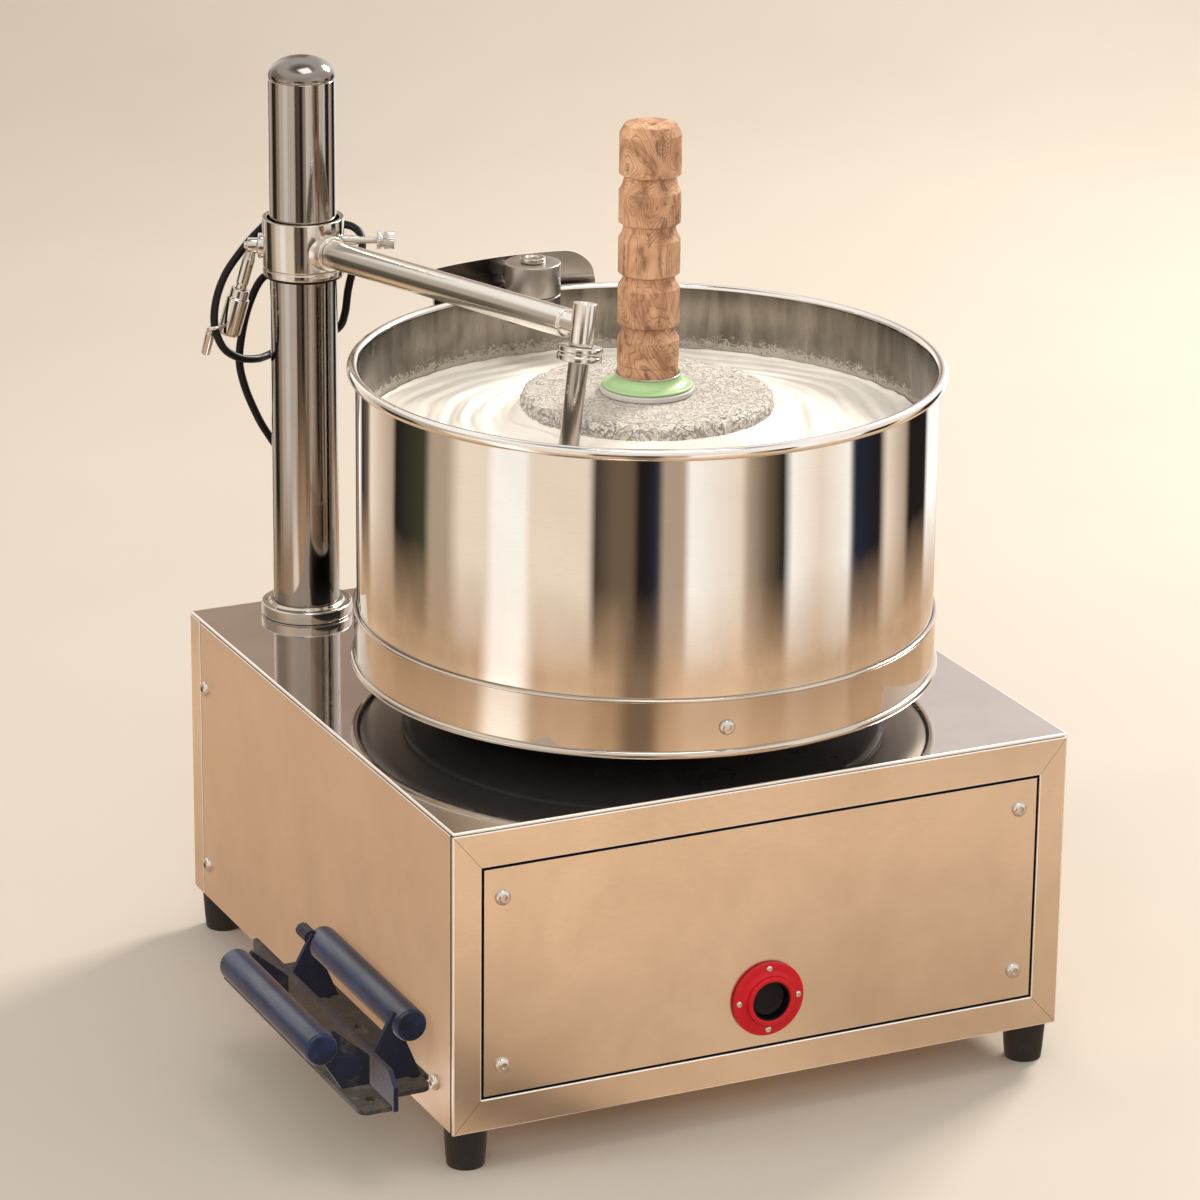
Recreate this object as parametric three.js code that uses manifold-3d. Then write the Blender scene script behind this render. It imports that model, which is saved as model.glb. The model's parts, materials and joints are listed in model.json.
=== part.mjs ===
// Table-top wet grinder: a steel cabinet, a turning drum with a stone in it, a scraper arm on a column,
// a steady roller behind the rim and a carrying bracket on the left side.
// Millimetres, +Z up, front towards -Y. The origin is on the floor under the middle of the machine.
import * as THREE from 'three';
import { mergeVertices } from 'three/addons/utils/BufferGeometryUtils.js';
import Module from 'manifold-3d';

const wasm = await Module();
wasm.setup();

// Facets round a full turn
const bigFacets = 48;
const tubeFacets = 24;
const rodFacets = 16;
const pinFacets = 10;
const beadFacets = 3;
const rimFacets = 6;

// Clearances
const seatGap = 0.3;
const runGap = 0.3;
const overrun = 2;
const weldTolerance = 0.0001;

// Cabinet
const cabinet = { width: 402, depth: 418, topHeight: 214, underHeight: 25, topSheet: 2, sheet: 1.5 };
const frontFrame = {
  side: 18, top: 22, bottom: 20, thick: 2.5, ledgeSide: 26, ledgeEdge: 8, ledgeSheet: 1.5,
};
const frontPanel = { joint: 0.8, recess: 0.5, screwSide: 12.5, screwEdge: 19 };
const backReturn = 16;
const sideScrew = { edge: 26, low: 24, high: 42 };
const panelScrew = { head: 4.75, dome: 2.8, socket: 2, socketDepth: 1.5, shank: 2.4, length: 9 };
const screwHeadShares = [[0.93, 0.45], [0.6, 0.9]];
const foot = { top: 13.2, bottom: 11.4, inset: 14, round: 1.5 };
const vent = { length: 70, width: 6, pitch: 14, rows: 5, low: 90, side: 95 };

// Drum
const drumBack = 40;
const drum = { wall: 175, sheet: 2, lift: 22, height: 188, corner: 6 };
const rimBead = 3.5;
const band = { sheet: 1.2, rise: 0.5, height: 36.5, footBead: 2.4, topBead: 1.1 };
const bandScrewAngle = -100;
const turntable = { radius: 148, thick: 5, hub: 40, hubDepth: 9 };
const baseStone = { radius: 118, height: 50 };
const centrePin = { radius: 9, clear: 8 };
const topStone = { radius: 76.3, foot: 60, flare: 40, edge: 5, edgeDrop: 3.5, height: 116.8, roof: 6 };
const stoneEdgeShares = [[0.45, 0.3]];
const stoneBush = { wall: 4.5, endGap: 5 };
const stoneSeat = 0.6;
const batter = { innerGap: 1.5, wallGap: 0.8 };
// Places on the batter's surface: how far out from the stone, and how far below the stone's top
const batterSlope = {
  stoneDrop: 9, bankOut: 9, bankDrop: 17.2, rodOut: 24, rodDrop: 17.5, swirlOut: 46, swirlDrop: 21.7,
  wallDrop: 24.2,
};
const washer = { radius: 28.5, thick: 3 };
const greenFlange = { radius: 27, rim: 1.2, height: 7.1, neck: 19.4 };
const flangeShares = [[0.62, 0.09], [0.36, 0.28], [0.16, 0.55], [0, 1]];
const handle = { radius: 18.5, groove: 16.3, length: 152.8, chamfer: 2.9, knot: 4, knotDepth: 1.2 };
// Places down the handle and how deep its carved grooves are there
const handleShares = [
  [0.036, 0], [0.1925, 0], [0.2, 1], [0.225, 0.85], [0.262, 0], [0.385, 0], [0.393, 1], [0.417, 0.85],
  [0.452, 0],
  [0.5875, 0], [0.5955, 1], [0.615, 0.85], [0.645, 0], [0.791, 0], [0.799, 1], [0.822, 0.85], [0.853, 0],
  [0.95, 0], [0.956, 0.4], [0.962, 0], [1, 0],
];

// Drive inside the cabinet
const spindle = { radius: 12.5, low: 56 };
const bush = { outer: 21, drop: 8, rise: 4 };
const housing = { wall: 5, flange: 48, flangeThick: 6, clear: 33.4 };
const drumPulley = { radius: 100, thick: 18, groove: 9, grooveDraft: 2, height: 62 };
const motorPulley = { radius: 27 };
const belt = { width: 8, thick: 7 };
const motor = { x: 98, y: 118, radius: 58, low: 102, shaft: 7, bore: 9, round: 8 };
const motorPlate = { size: 142, thick: 4 };
const gland = { x: -120, height: 55, radius: 9, flange: 13, rim: 3, out: 12, bore: 4 };

// Power button in its red flange
const button = { x: 2, height: 76.7, flange: 23.2, flangeThick: 3, collar: 15.5, collarOut: 4.5, bore: 11.4 };
const buttonCap = { radius: 10.9, sunk: 5.5, length: 9, travel: 4 };
const flangeScrew = { circle: 19.4, hole: 1.5, count: 4, start: 0 };
const switchBody = { radius: 17, length: 32, skirt: 2 };

// Column and collar
const column = { x: -133, y: 179, radius: 21, wall: 2.5, above: 107, dome: 14, cap: 6 };
const domeShares = [[1, 0], [0.97, 0.24], [0.86, 0.52], [0.66, 0.76], [0.36, 0.94]];
const columnFlange = { radius: 29, thick: 7.8, step: 23.4, stepRise: 1.4 };
const collar = { below: 17, above: 19, radius: 25.5, wall: 3 };
const collarBush = { wall: 1.1, lip: 24.4, lipThick: 1.4 };

// Scraper arm. Its frame has X along the arm, and the rod hangs along -Z of that frame.
const arm = { rise: 31, yaw: -75.92, pitch: 2.1, roll: -9.7, reach: 275.9, radius: 8.8, seam: 262 };
const boss = { radius: 10.8, end: 31, journal: 6.4, journalStart: 26.6 };
const spigot = 7.2;
const sleeve = { radius: 7.2, top: 14.5, low: -10.5, roof: 4, dimple: 2, dimpleDepth: 1 };
const clampRing = { radius: 13.4, flat: 11.4, thick: 8.6, split: 1.6 };
const rod = { radius: 5.95, top: 0, tip: -75 };

// Clamp screw on the collar's right and lock lever on its left, both radial to the column
const clampScrew = { angle: -25.4, rise: 4, radius: 2.3, neck: 3, neckEnd: 34, start: 24.3 };
const clampHead = { start: 46, flange: 2.4, waistLength: 2, length: 11, radius: 5.4, waist: 4.4 };
const leverPin = { angle: 154.6, radius: 2.4, pad: 8, padOut: 2.6, past: 2.5 };
const lever = { hub: 5, hubLength: 6.2, rod: 3.5, rodStart: 3, tilt: 15.5, ease: 2 };
const leverGrip = { start: 29, end: 60, radius: 7.2, shoulder: 6, shoulderLength: 6, socket: 8 };

// Tether cord: centre line round the column, from the collar's clip and back to it.
// The points are measured from the column's axis, at the height of the arm.
const cord = { diameter: 5, sides: 8, step: 13 };
const cordRoute = [
  [25.9, 20.9, 6], [31.3, 18.2, 6.3], [37.8, 12.1, 5.5], [40.5, 4.8, 2.2], [38.2, -3.1, -5.3],
  [31.2, -5.2, -18.2], [29, -2.4, -31], [27.7, -0.4, -46], [26.9, 6.6, -57], [22, 17.2, -64],
  [12.3, 25.8, -68.5], [-0.1, 30.1, -73], [-14, 27.7, -77], [-25.2, 18.6, -75.4], [-38.3, 12.7, -71.7],
  [-49.6, 10.8, -63.8], [-54.1, 14.1, -50.8], [-51.6, 19, -36.2], [-43.2, 23.9, -20.3], [-31.4, 27.2, -7.5],
  [-19.7, 29.9, 2.5], [-3.7, 33.3, 11.6], [10.1, 34.6, 7.8], [15.5, 34.8, -2.1], [12.4, 35, -13.7],
  [0.1, 34.7, -22], [-14.3, 33.4, -27.7], [-23.1, 33.6, -43], [-28.7, 34.2, -64.3], [-31.4, 31.5, -80.3],
  [-29.3, 29.5, -94.5], [-23.1, 28.7, -111.5], [-14.6, 30.2, -127.5], [-0.9, 30.9, -145.3],
  [11.6, 29.2, -148.5], [22.5, 26, -141.3], [26.9, 24, -124], [27.5, 24, -103], [26.8, 24.9, -70],
  [22.1, 23, -31], [21.9, 22.8, -13.4],
];
const tetherEye = { play: 0.6, tube: 1.2 };
const eyeIndex = 16;
const tetherPin = { radius: 3, length: 22, lean: 30, set: 0.6 };
const cordClip = { angle: 64.6, left: -14, right: -6, reach: 33, below: 13, above: 11 };

// Rear guard and its steady roller
const guard = { radius: 187, sheet: 1.5, rise: 19, corner: 20, angle: 92.04, halfWidth: 56.4, footDepth: 22 };
const guardFacets = 144;
// Heights from the rim
const roller = { angle: 91.9, radius: 17.5, low: -14, split: 3.3, top: 23, contact: 0.6 };
const rollerTab = { width: 9, low: 5, high: 13 };
const rollerAxle = { radius: 4, nut: 8, nutThick: 3, foot: 7, footThick: 2, slot: 2, slotDepth: 1.2 };

// Carrying bracket on the left side. Its places across are distances out from the cabinet's wall.
const bracket = { rear: 12, front: -205, rightFront: -189, base: 50, sheet: 3, plateOut: 34.7, plateTop: 70 };
const bracketPlate = { front: -207, cut: 8 };
const bracketTab = { out: 55.7, corner: 7, hole: 3.6, leftIn: 12, leftBack: 14, rightIn: 8, rightBack: 18 };
const tabRelief = { depth: 4, back: -174 };
const bracketWeb = { front: -170, rear: -44, footIn: 3, drop: 3 };
// Corners of a web beside its grip, as shares of the grip's radius: low outer corner and high inner corner
const webShares = [[0.2, -0.95], [0.9, 0.9]];
const bracketLip = { low: 32, front: -150, rear: 0 };
const bracketSlot = { length: 16, width: 5, out: 10.7, rear: -40, front: -98 };
const grip = { radius: 10, front: -177, rear: -38, round: 1.2 };
const innerGrip = { out: 11.7, height: 84 };
const outerGrip = { out: 67.7, height: 79 };
const bracketStub = { out: 20.7, height: 90, radius: 4.5, length: 14 };

const model = new THREE.Group();

// Finish of each kind of piece: colour, roughness, metalness
const finishes = {
  polishedSteel: [0xc9c3ba, 0.15, 1], brushedSteel: [0xb9b2a8, 0.32, 1], darkSteel: [0x6d6862, 0.4, 1],
  zinc: [0xa9adb0, 0.4, 0.9], castIron: [0x55585c, 0.55, 0.6], blackPaint: [0x17181a, 0.45, 0.1],
  navyPaint: [0x1d2740, 0.4, 0.5], rubber: [0x151515, 0.8, 0], blackPlastic: [0x101012, 0.35, 0],
  redPlastic: [0xc4142a, 0.3, 0], greenPlastic: [0xa3cf8b, 0.45, 0], granite: [0x8e8b87, 0.85, 0],
  batter: [0xf1ead9, 0.35, 0], wood: [0xb98a5e, 0.6, 0], grey: [0x77757a, 0.6, 0.1],
};

// Closed triangle mesh whose corners are shared and whose faces point out
function weld(source) {
  const bare = source.clone();
  for (const name of Object.keys(bare.attributes)) {
    if (name !== 'position') bare.deleteAttribute(name);
  }
  const merged = mergeVertices(bare, weldTolerance);
  const position = merged.getAttribute('position');
  const corners = merged.index.array;
  const kept = [];
  const a = new THREE.Vector3();
  const b = new THREE.Vector3();
  const c = new THREE.Vector3();
  let volume = 0;
  for (let i = 0; i < corners.length; i += 3) {
    const [p, q, r] = [corners[i], corners[i + 1], corners[i + 2]];
    if (p === q || q === r || r === p) continue;
    kept.push(p, q, r);
    a.fromBufferAttribute(position, p);
    b.fromBufferAttribute(position, q);
    c.fromBufferAttribute(position, r);
    volume += a.dot(b.cross(c));
  }
  if (volume < 0) kept.reverse();
  merged.setIndex(kept);
  return merged;
}

function toSolid(geometry) {
  const mesh = weld(geometry);
  const vertProperties = new Float32Array(mesh.getAttribute('position').array);
  const triVerts = new Uint32Array(mesh.index.array);
  return new wasm.Manifold(new wasm.Mesh({ numProp: 3, vertProperties, triVerts }));
}

function toGeometry(solid) {
  const mesh = solid.getMesh();
  const geometry = new THREE.BufferGeometry();
  geometry.setAttribute('position', new THREE.BufferAttribute(mesh.vertProperties, 3));
  geometry.setIndex(new THREE.BufferAttribute(mesh.triVerts, 1));
  return geometry;
}

// First geometry joined with the others, or with the others cut away
function join(first, ...others) {
  return toGeometry(others.reduce((solid, other) => solid.add(toSolid(other)), toSolid(first)));
}

function cut(first, ...cutters) {
  return toGeometry(cutters.reduce((solid, cutter) => solid.subtract(toSolid(cutter)), toSolid(first)));
}

// Piece turned about Z from [radius, height] points, closed on the axis or on itself
function turned(profile, facets = tubeFacets) {
  const points = profile.map(([radius, height]) => new THREE.Vector2(radius, height));
  return new THREE.LatheGeometry(points, facets).rotateX(Math.PI / 2);
}

function ring(inner, outer, low, high, facets = tubeFacets) {
  return turned([[inner, low], [outer, low], [outer, high], [inner, high], [inner, low]], facets);
}

function disc(radius, low, high, facets = tubeFacets) {
  return turned([[0, low], [radius, low], [radius, high], [0, high]], facets);
}

function block(x0, x1, y0, y1, z0, z1) {
  const box = new THREE.BoxGeometry(x1 - x0, y1 - y0, z1 - z0);
  return box.translate((x0 + x1) / 2, (y0 + y1) / 2, (z0 + z1) / 2);
}

// Turned piece whose axis lies along X, and one whose axis lies along Y
function alongX(geometry) {
  return geometry.rotateY(Math.PI / 2);
}

function alongY(geometry) {
  return geometry.rotateX(-Math.PI / 2);
}

function radians(degrees) {
  return THREE.MathUtils.degToRad(degrees);
}

// Shape pulled along +Z; its full circles get the given number of facets
function extruded(shape, thickness, facets = rodFacets) {
  const curveSegments = facets / 2;
  return new THREE.ExtrudeGeometry(shape, { depth: thickness, bevelEnabled: false, curveSegments });
}

// Flat sheet standing across Y: the shape's X and Y become X and Z
function standing(shape, yFront, thickness) {
  return extruded(shape, thickness).rotateX(Math.PI / 2).translate(0, yFront + thickness, 0);
}

// Flat sheet standing across X: the shape's X and Y become Y and Z
function facing(shape, xLeft, thickness) {
  return extruded(shape, thickness).rotateX(Math.PI / 2).rotateZ(Math.PI / 2).translate(xLeft, 0, 0);
}

function rectangle(x0, x1, y0, y1) {
  return rounded([[x0, y0, 0], [x1, y0, 0], [x1, y1, 0], [x0, y1, 0]]);
}

// Outline of [x, y, corner radius] points, in order round it
function rounded(corners) {
  const shape = new THREE.Shape();
  corners.forEach(([x, y, radius], index) => {
    const corner = new THREE.Vector2(x, y);
    const [before, after] = [corners.length - 1, 1].map((step) => {
      const [nextX, nextY] = corners[(index + step) % corners.length];
      return new THREE.Vector2(nextX, nextY).sub(corner).setLength(radius).add(corner);
    });
    if (index === 0) shape.moveTo(before.x, before.y);
    else shape.lineTo(before.x, before.y);
    if (radius > 0) shape.quadraticCurveTo(x, y, after.x, after.y);
  });
  shape.closePath();
  return shape;
}

function roundHole(x, y, radius, facets = pinFacets) {
  return new THREE.Path(circlePoints(x, y, radius, 0, 2 * Math.PI, facets).slice(1));
}

// Slot with round ends, running at an angle to X
function slotHole(x, y, length, width, angle) {
  const reach = (length - width) / 2;
  const [slotX, slotY] = [reach * Math.cos(angle), reach * Math.sin(angle)];
  const quarter = Math.PI / 2;
  return new THREE.Path([
    ...circlePoints(x + slotX, y + slotY, width / 2, angle - quarter, angle + quarter, beadFacets),
    ...circlePoints(x - slotX, y - slotY, width / 2, angle + quarter, angle + 3 * quarter, beadFacets),
  ]);
}

function circlePoints(x, y, radius, start, end, steps) {
  return Array.from({ length: steps + 1 }, (_, i) => {
    const angle = start + (end - start) * i / steps;
    return new THREE.Vector2(x + radius * Math.cos(angle), y + radius * Math.sin(angle));
  });
}

function add(name, geometry, finish, group = model) {
  const [color, roughness, metalness] = finishes[finish];
  const material = new THREE.MeshStandardMaterial({ color, roughness, metalness });
  const mesh = new THREE.Mesh(weld(geometry), material);
  mesh.name = name;
  group.add(mesh);
}

function groupAt(x, y, z, parent = model) {
  const group = new THREE.Group();
  group.position.set(x, y, z);
  parent.add(group);
  return group;
}

// Places that several pieces share
const halfWidth = cabinet.width / 2;
const halfDepth = cabinet.depth / 2;
const underTop = cabinet.topHeight - cabinet.topSheet - seatGap;
const onTop = cabinet.topHeight + seatGap;
const opening = {
  left: -halfWidth + frontFrame.side,
  low: cabinet.underHeight + frontFrame.bottom,
  high: underTop - frontFrame.top,
};
const panel = {
  front: -halfDepth + frontPanel.recess,
  left: opening.left + frontPanel.joint,
  low: opening.low + frontPanel.joint,
  high: opening.high - frontPanel.joint,
};
const ledgeFront = panel.front + cabinet.sheet + seatGap;
const ledgeBack = ledgeFront + frontFrame.ledgeSheet;
const frontScrewX = -panel.left - frontPanel.screwSide;
const frontScrewHeights = [panel.low + frontPanel.screwEdge, panel.high - frontPanel.screwEdge];
const screwHole = panelScrew.shank + runGap;
const sideScrewPlaces = [
  [halfDepth - sideScrew.edge, underTop - sideScrew.high],
  [halfDepth - sideScrew.edge, cabinet.underHeight + sideScrew.low],
  [-halfDepth + sideScrew.edge, cabinet.underHeight + sideScrew.low],
];
const drumFloor = cabinet.topHeight + drum.lift;
const rimHeight = drumFloor + drum.height;
const bowlFloor = drumFloor + drum.sheet;
const bowlRadius = drum.wall - drum.sheet;
const stoneFloor = bowlFloor + seatGap;
const baseTop = stoneFloor + baseStone.height;
const stoneLow = baseTop + stoneSeat;
const stoneTop = stoneLow + topStone.height;
const armHeight = rimHeight + arm.rise;
const collarLow = armHeight - collar.below;
const collarHigh = armHeight + collar.above;
const collarBore = column.radius + runGap + collarBush.wall + runGap;
const clampHeight = armHeight + clampScrew.rise;
const leverStart = collar.radius + leverPin.padOut + seatGap;
const leverPinEnd = leverStart + lever.hubLength + leverPin.past;
const wallSide = -halfWidth - seatGap;
const bracketPlateX = wallSide - bracket.plateOut;
const bracketLeft = wallSide - bracketTab.out;

// Cabinet
function topPlate() {
  const shape = rectangle(-halfWidth, halfWidth, -halfDepth, halfDepth);
  shape.holes.push(roundHole(0, -drumBack, spindle.radius + overrun, rodFacets));
  const sheet = extruded(shape, cabinet.topSheet).translate(0, 0, cabinet.topHeight - cabinet.topSheet);
  add('top_plate', sheet, 'polishedSteel');
}

function screwHolesInFront(shape) {
  for (const height of frontScrewHeights) {
    shape.holes.push(roundHole(-frontScrewX, height, screwHole), roundHole(frontScrewX, height, screwHole));
  }
  return shape;
}

// Frame round the front panel, with the ledge behind it that the panel is screwed to
function frontFramePiece() {
  const face = rectangle(-halfWidth, halfWidth, cabinet.underHeight, underTop);
  face.holes.push(rectangle(opening.left, -opening.left, opening.low, opening.high));
  const ledge = screwHolesInFront(rectangle(-halfWidth, halfWidth, cabinet.underHeight, underTop));
  const ledgeLeft = opening.left + frontFrame.ledgeSide;
  ledge.holes.push(rectangle(ledgeLeft, -ledgeLeft, opening.low + frontFrame.ledgeEdge,
    opening.high - frontFrame.ledgeEdge));
  const front = standing(face, -halfDepth, frontFrame.thick);
  add('front_frame', join(front, standing(ledge, ledgeFront, frontFrame.ledgeSheet)), 'brushedSteel');
}

function frontPanelPiece() {
  const shape = screwHolesInFront(rectangle(panel.left, -panel.left, panel.low, panel.high));
  shape.holes.push(roundHole(button.x, button.height, button.bore + runGap, rodFacets));
  add('front_panel', standing(shape, panel.front, cabinet.sheet), 'brushedSteel');
}

// Button-head screw pointing along +Z, with the underside of its head at height zero
function screwShape(length) {
  const { head, dome, socket, socketDepth, shank } = panelScrew;
  const round = screwHeadShares.map(([out, up]) => [head * out, dome * up]);
  return turned([[0, -length], [shank, -length], [shank, 0], [head, 0], ...round, [socket, dome],
    [socket, dome - socketDepth], [0, dome - socketDepth]], pinFacets);
}

function panelScrews() {
  let count = 0;
  for (const height of frontScrewHeights) {
    for (const x of [-frontScrewX, frontScrewX]) {
      count += 1;
      const screw = screwShape(panelScrew.length).rotateX(Math.PI / 2);
      add(`front_screw_${count}`, screw.translate(x, panel.front - seatGap, height), 'polishedSteel');
    }
  }
  sideScrewPlaces.forEach(([y, height], index) => {
    const screw = screwShape(panelScrew.length).rotateY(-Math.PI / 2).translate(wallSide, y, height);
    add(`side_screw_${index + 1}`, screw, 'polishedSteel');
  });
}

function sidePanels() {
  const front = ledgeBack + seatGap;
  const back = halfDepth - backReturn - frontPanel.joint;
  const screwed = rectangle(front, back, cabinet.underHeight, underTop);
  for (const [y, height] of sideScrewPlaces) {
    screwed.holes.push(roundHole(y, height, screwHole));
  }
  const plain = rectangle(front, back, cabinet.underHeight, underTop);
  add('left_panel', facing(screwed, -halfWidth, cabinet.sheet), 'brushedSteel');
  add('right_panel', facing(plain, halfWidth - cabinet.sheet, cabinet.sheet), 'brushedSteel');
}

function backPanel() {
  const back = rectangle(-halfWidth, halfWidth, cabinet.underHeight, underTop);
  back.holes.push(roundHole(gland.x, gland.height, gland.radius + runGap, rodFacets));
  for (let row = 0; row < vent.rows; row += 1) {
    for (const x of [-vent.side, vent.side]) {
      back.holes.push(slotHole(x, vent.low + row * vent.pitch, vent.length, vent.width, 0));
    }
  }
  const sheet = standing(back, halfDepth - cabinet.sheet, cabinet.sheet);
  const fold = block(0, cabinet.sheet, halfDepth - backReturn, halfDepth, cabinet.underHeight, underTop);
  const left = fold.clone().translate(-halfWidth, 0, 0);
  const right = fold.clone().translate(halfWidth - cabinet.sheet, 0, 0);
  add('back_panel', join(sheet, left, right), 'brushedSteel');
}

function basePlate() {
  const side = halfWidth - cabinet.sheet - seatGap;
  const back = halfDepth - cabinet.sheet - seatGap;
  const sheet = block(-side, side, ledgeBack + seatGap, back, cabinet.underHeight,
    cabinet.underHeight + cabinet.sheet);
  add('base_plate', sheet, 'brushedSteel');
}

function feet() {
  const x = halfWidth - foot.inset;
  const y = halfDepth - foot.inset;
  const high = cabinet.underHeight - seatGap;
  const places = {
    foot_front_left: [-x, -y],
    foot_front_right: [x, -y],
    foot_back_left: [-x, y],
    foot_back_right: [x, y],
  };
  for (const [name, [footX, footY]] of Object.entries(places)) {
    const shape = turned([[0, 0], [foot.bottom - foot.round, 0], [foot.bottom, foot.round], [foot.top, high],
      [0, high]], rodFacets);
    add(name, shape.translate(footX, footY, 0), 'rubber');
  }
}

// Power button: flange, cap sunk in its bore, and the switch behind the panel
function powerButton() {
  const back = panel.front - seatGap;
  const face = back - button.flangeThick;
  const mouth = face - button.collarOut;
  const place = (geometry) => alongY(geometry).translate(button.x, 0, button.height);
  const plate = turned([[button.bore, mouth], [button.collar, mouth], [button.collar, face],
    [button.flange, face], [button.flange, back], [button.bore, back], [button.bore, mouth]]);
  const dimples = [];
  for (let turn = 0; turn < flangeScrew.count; turn += 1) {
    const angle = radians(flangeScrew.start) + 2 * Math.PI * turn / flangeScrew.count;
    dimples.push(disc(flangeScrew.hole, face - overrun, face + button.flangeThick / 2, pinFacets)
      .translate(flangeScrew.circle * Math.cos(angle), flangeScrew.circle * Math.sin(angle), 0));
  }
  add('button_flange', place(cut(plate, ...dimples)), 'redPlastic');
  const capFront = mouth + buttonCap.sunk;
  const capBack = capFront + buttonCap.length;
  add('power_button', place(disc(buttonCap.radius, capFront, capBack)), 'blackPlastic');
  const switchFront = capBack + buttonCap.travel + seatGap;
  const body = disc(switchBody.radius, switchFront, switchFront + switchBody.length, rodFacets);
  const skirt = ring(button.bore, switchBody.radius, ledgeFront, switchFront + switchBody.skirt, rodFacets);
  add('switch_body', place(join(body, skirt)), 'blackPlastic');
}

// Pulley with a groove for the belt, standing on height zero
function pulley(radius, bore) {
  const { thick, groove, grooveDraft } = drumPulley;
  const middle = thick / 2;
  const floor = belt.width / 2;
  const mouth = floor + grooveDraft;
  return turned([[bore, 0], [radius, 0], [radius, middle - mouth], [radius - groove, middle - floor],
    [radius - groove, middle + floor], [radius, middle + mouth], [radius, thick], [bore, thick], [bore, 0]]);
}

function drumDrive(axis) {
  const shape = pulley(drumPulley.radius, spindle.radius + seatGap).translate(0, 0, drumPulley.height);
  add('drum_pulley', shape, 'castIron', axis);
  const hubTop = drumFloor - seatGap - turntable.thick - seatGap;
  const hubLow = hubTop - turntable.hubDepth;
  add('spindle', turned([[0, spindle.low], [spindle.radius, spindle.low], [spindle.radius, hubLow],
    [turntable.hub, hubLow], [turntable.hub, hubTop], [0, hubTop]]), 'zinc', axis);
  const under = drumFloor - seatGap;
  add('turntable', disc(turntable.radius, under - turntable.thick, under, bigFacets), 'blackPaint', axis);
}

function spindleHousing(axis) {
  const high = underTop - seatGap;
  const low = drumPulley.height + drumPulley.thick + housing.clear;
  const inner = bush.outer + seatGap;
  const outer = inner + housing.wall;
  add('bearing_housing', turned([[inner, low], [outer, low], [outer, high - housing.flangeThick],
    [housing.flange, high - housing.flangeThick], [housing.flange, high], [inner, high], [inner, low]]),
  'castIron', axis);
  add('spindle_bush', ring(spindle.radius + runGap, bush.outer, low + bush.rise, high - bush.drop), 'zinc',
    axis);
}

// Motor with its mounting plate under the top plate, and its pulley on its shaft
function motorPieces() {
  const axis = groupAt(motor.x, motor.y, 0);
  const half = motorPlate.size / 2;
  const plateHigh = underTop - seatGap;
  const high = plateHigh - motorPlate.thick;
  const { radius, low, shaft, bore, round } = motor;
  const body = turned([[0, high - round], [bore, high - round], [bore, low], [radius - round, low],
    [radius, low + round], [radius, high + overrun], [0, high + overrun]]);
  add('motor', join(body, block(-half, half, -half, half, high, plateHigh)), 'castIron', axis);
  const wheel = pulley(motorPulley.radius, shaft - seatGap).translate(0, 0, drumPulley.height);
  const shaftPiece = disc(shaft, drumPulley.height - overrun, high - round - seatGap, rodFacets);
  add('motor_pulley', join(wheel, shaftPiece), 'castIron', axis);
}

// V-belt: the outline round both pulleys, each arc standing a little clear of its groove's floor
function beltPiece() {
  const span = Math.hypot(motor.x, motor.y + drumBack);
  const direction = Math.atan2(motor.y + drumBack, motor.x);
  const loop = (extra) => {
    const large = drumPulley.radius - drumPulley.groove + seatGap + extra;
    const small = motorPulley.radius - drumPulley.groove + seatGap + extra;
    const lean = Math.acos((large - small) / span);
    const outline = new THREE.Shape();
    outline.absarc(0, 0, large, lean, 2 * Math.PI - lean, false);
    outline.absarc(span, 0, small, -lean, lean, false);
    outline.closePath();
    return outline;
  };
  const outline = loop(belt.thick);
  outline.holes.push(loop(0));
  const width = belt.width - 2 * seatGap;
  const low = drumPulley.height + (drumPulley.thick - width) / 2;
  const loopShape = extruded(outline, width, tubeFacets).rotateZ(direction);
  add('v_belt', loopShape.translate(0, -drumBack, low), 'rubber');
}

// Gland for the mains lead in the back panel
function cordGland() {
  const outside = halfDepth + seatGap;
  const inside = halfDepth - cabinet.sheet - gland.out;
  const shape = turned([[gland.bore, inside], [gland.radius, inside], [gland.radius, outside],
    [gland.flange, outside], [gland.flange, outside + gland.rim], [gland.radius, outside + gland.rim],
    [gland.radius, outside + gland.out], [gland.bore, outside + gland.out], [gland.bore, inside]], rodFacets);
  add('cord_gland', alongY(shape).translate(gland.x, 0, gland.height), 'blackPlastic');
}

// Profile points on a round bead, from one angle to another
function bead(centreRadius, centreHeight, radius, start, end, steps = beadFacets) {
  return circlePoints(centreRadius, centreHeight, radius, start, end, steps).map(({ x, y }) => [x, y]);
}

function drumShell(axis) {
  const beadRadius = bowlRadius + rimBead;
  const beadStart = Math.acos((rimBead - drum.sheet) / rimBead) - Math.PI;
  const shell = turned([[0, drumFloor], [drum.wall - drum.corner, drumFloor],
    [drum.wall, drumFloor + drum.corner],
    ...bead(beadRadius, rimHeight - rimBead, rimBead, beadStart, Math.PI, rimFacets),
    [bowlRadius, drumFloor + drum.corner], [drum.wall - drum.corner, bowlFloor], [0, bowlFloor]],
  bigFacets);
  add('drum_shell', shell, 'polishedSteel', axis);
}

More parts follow.
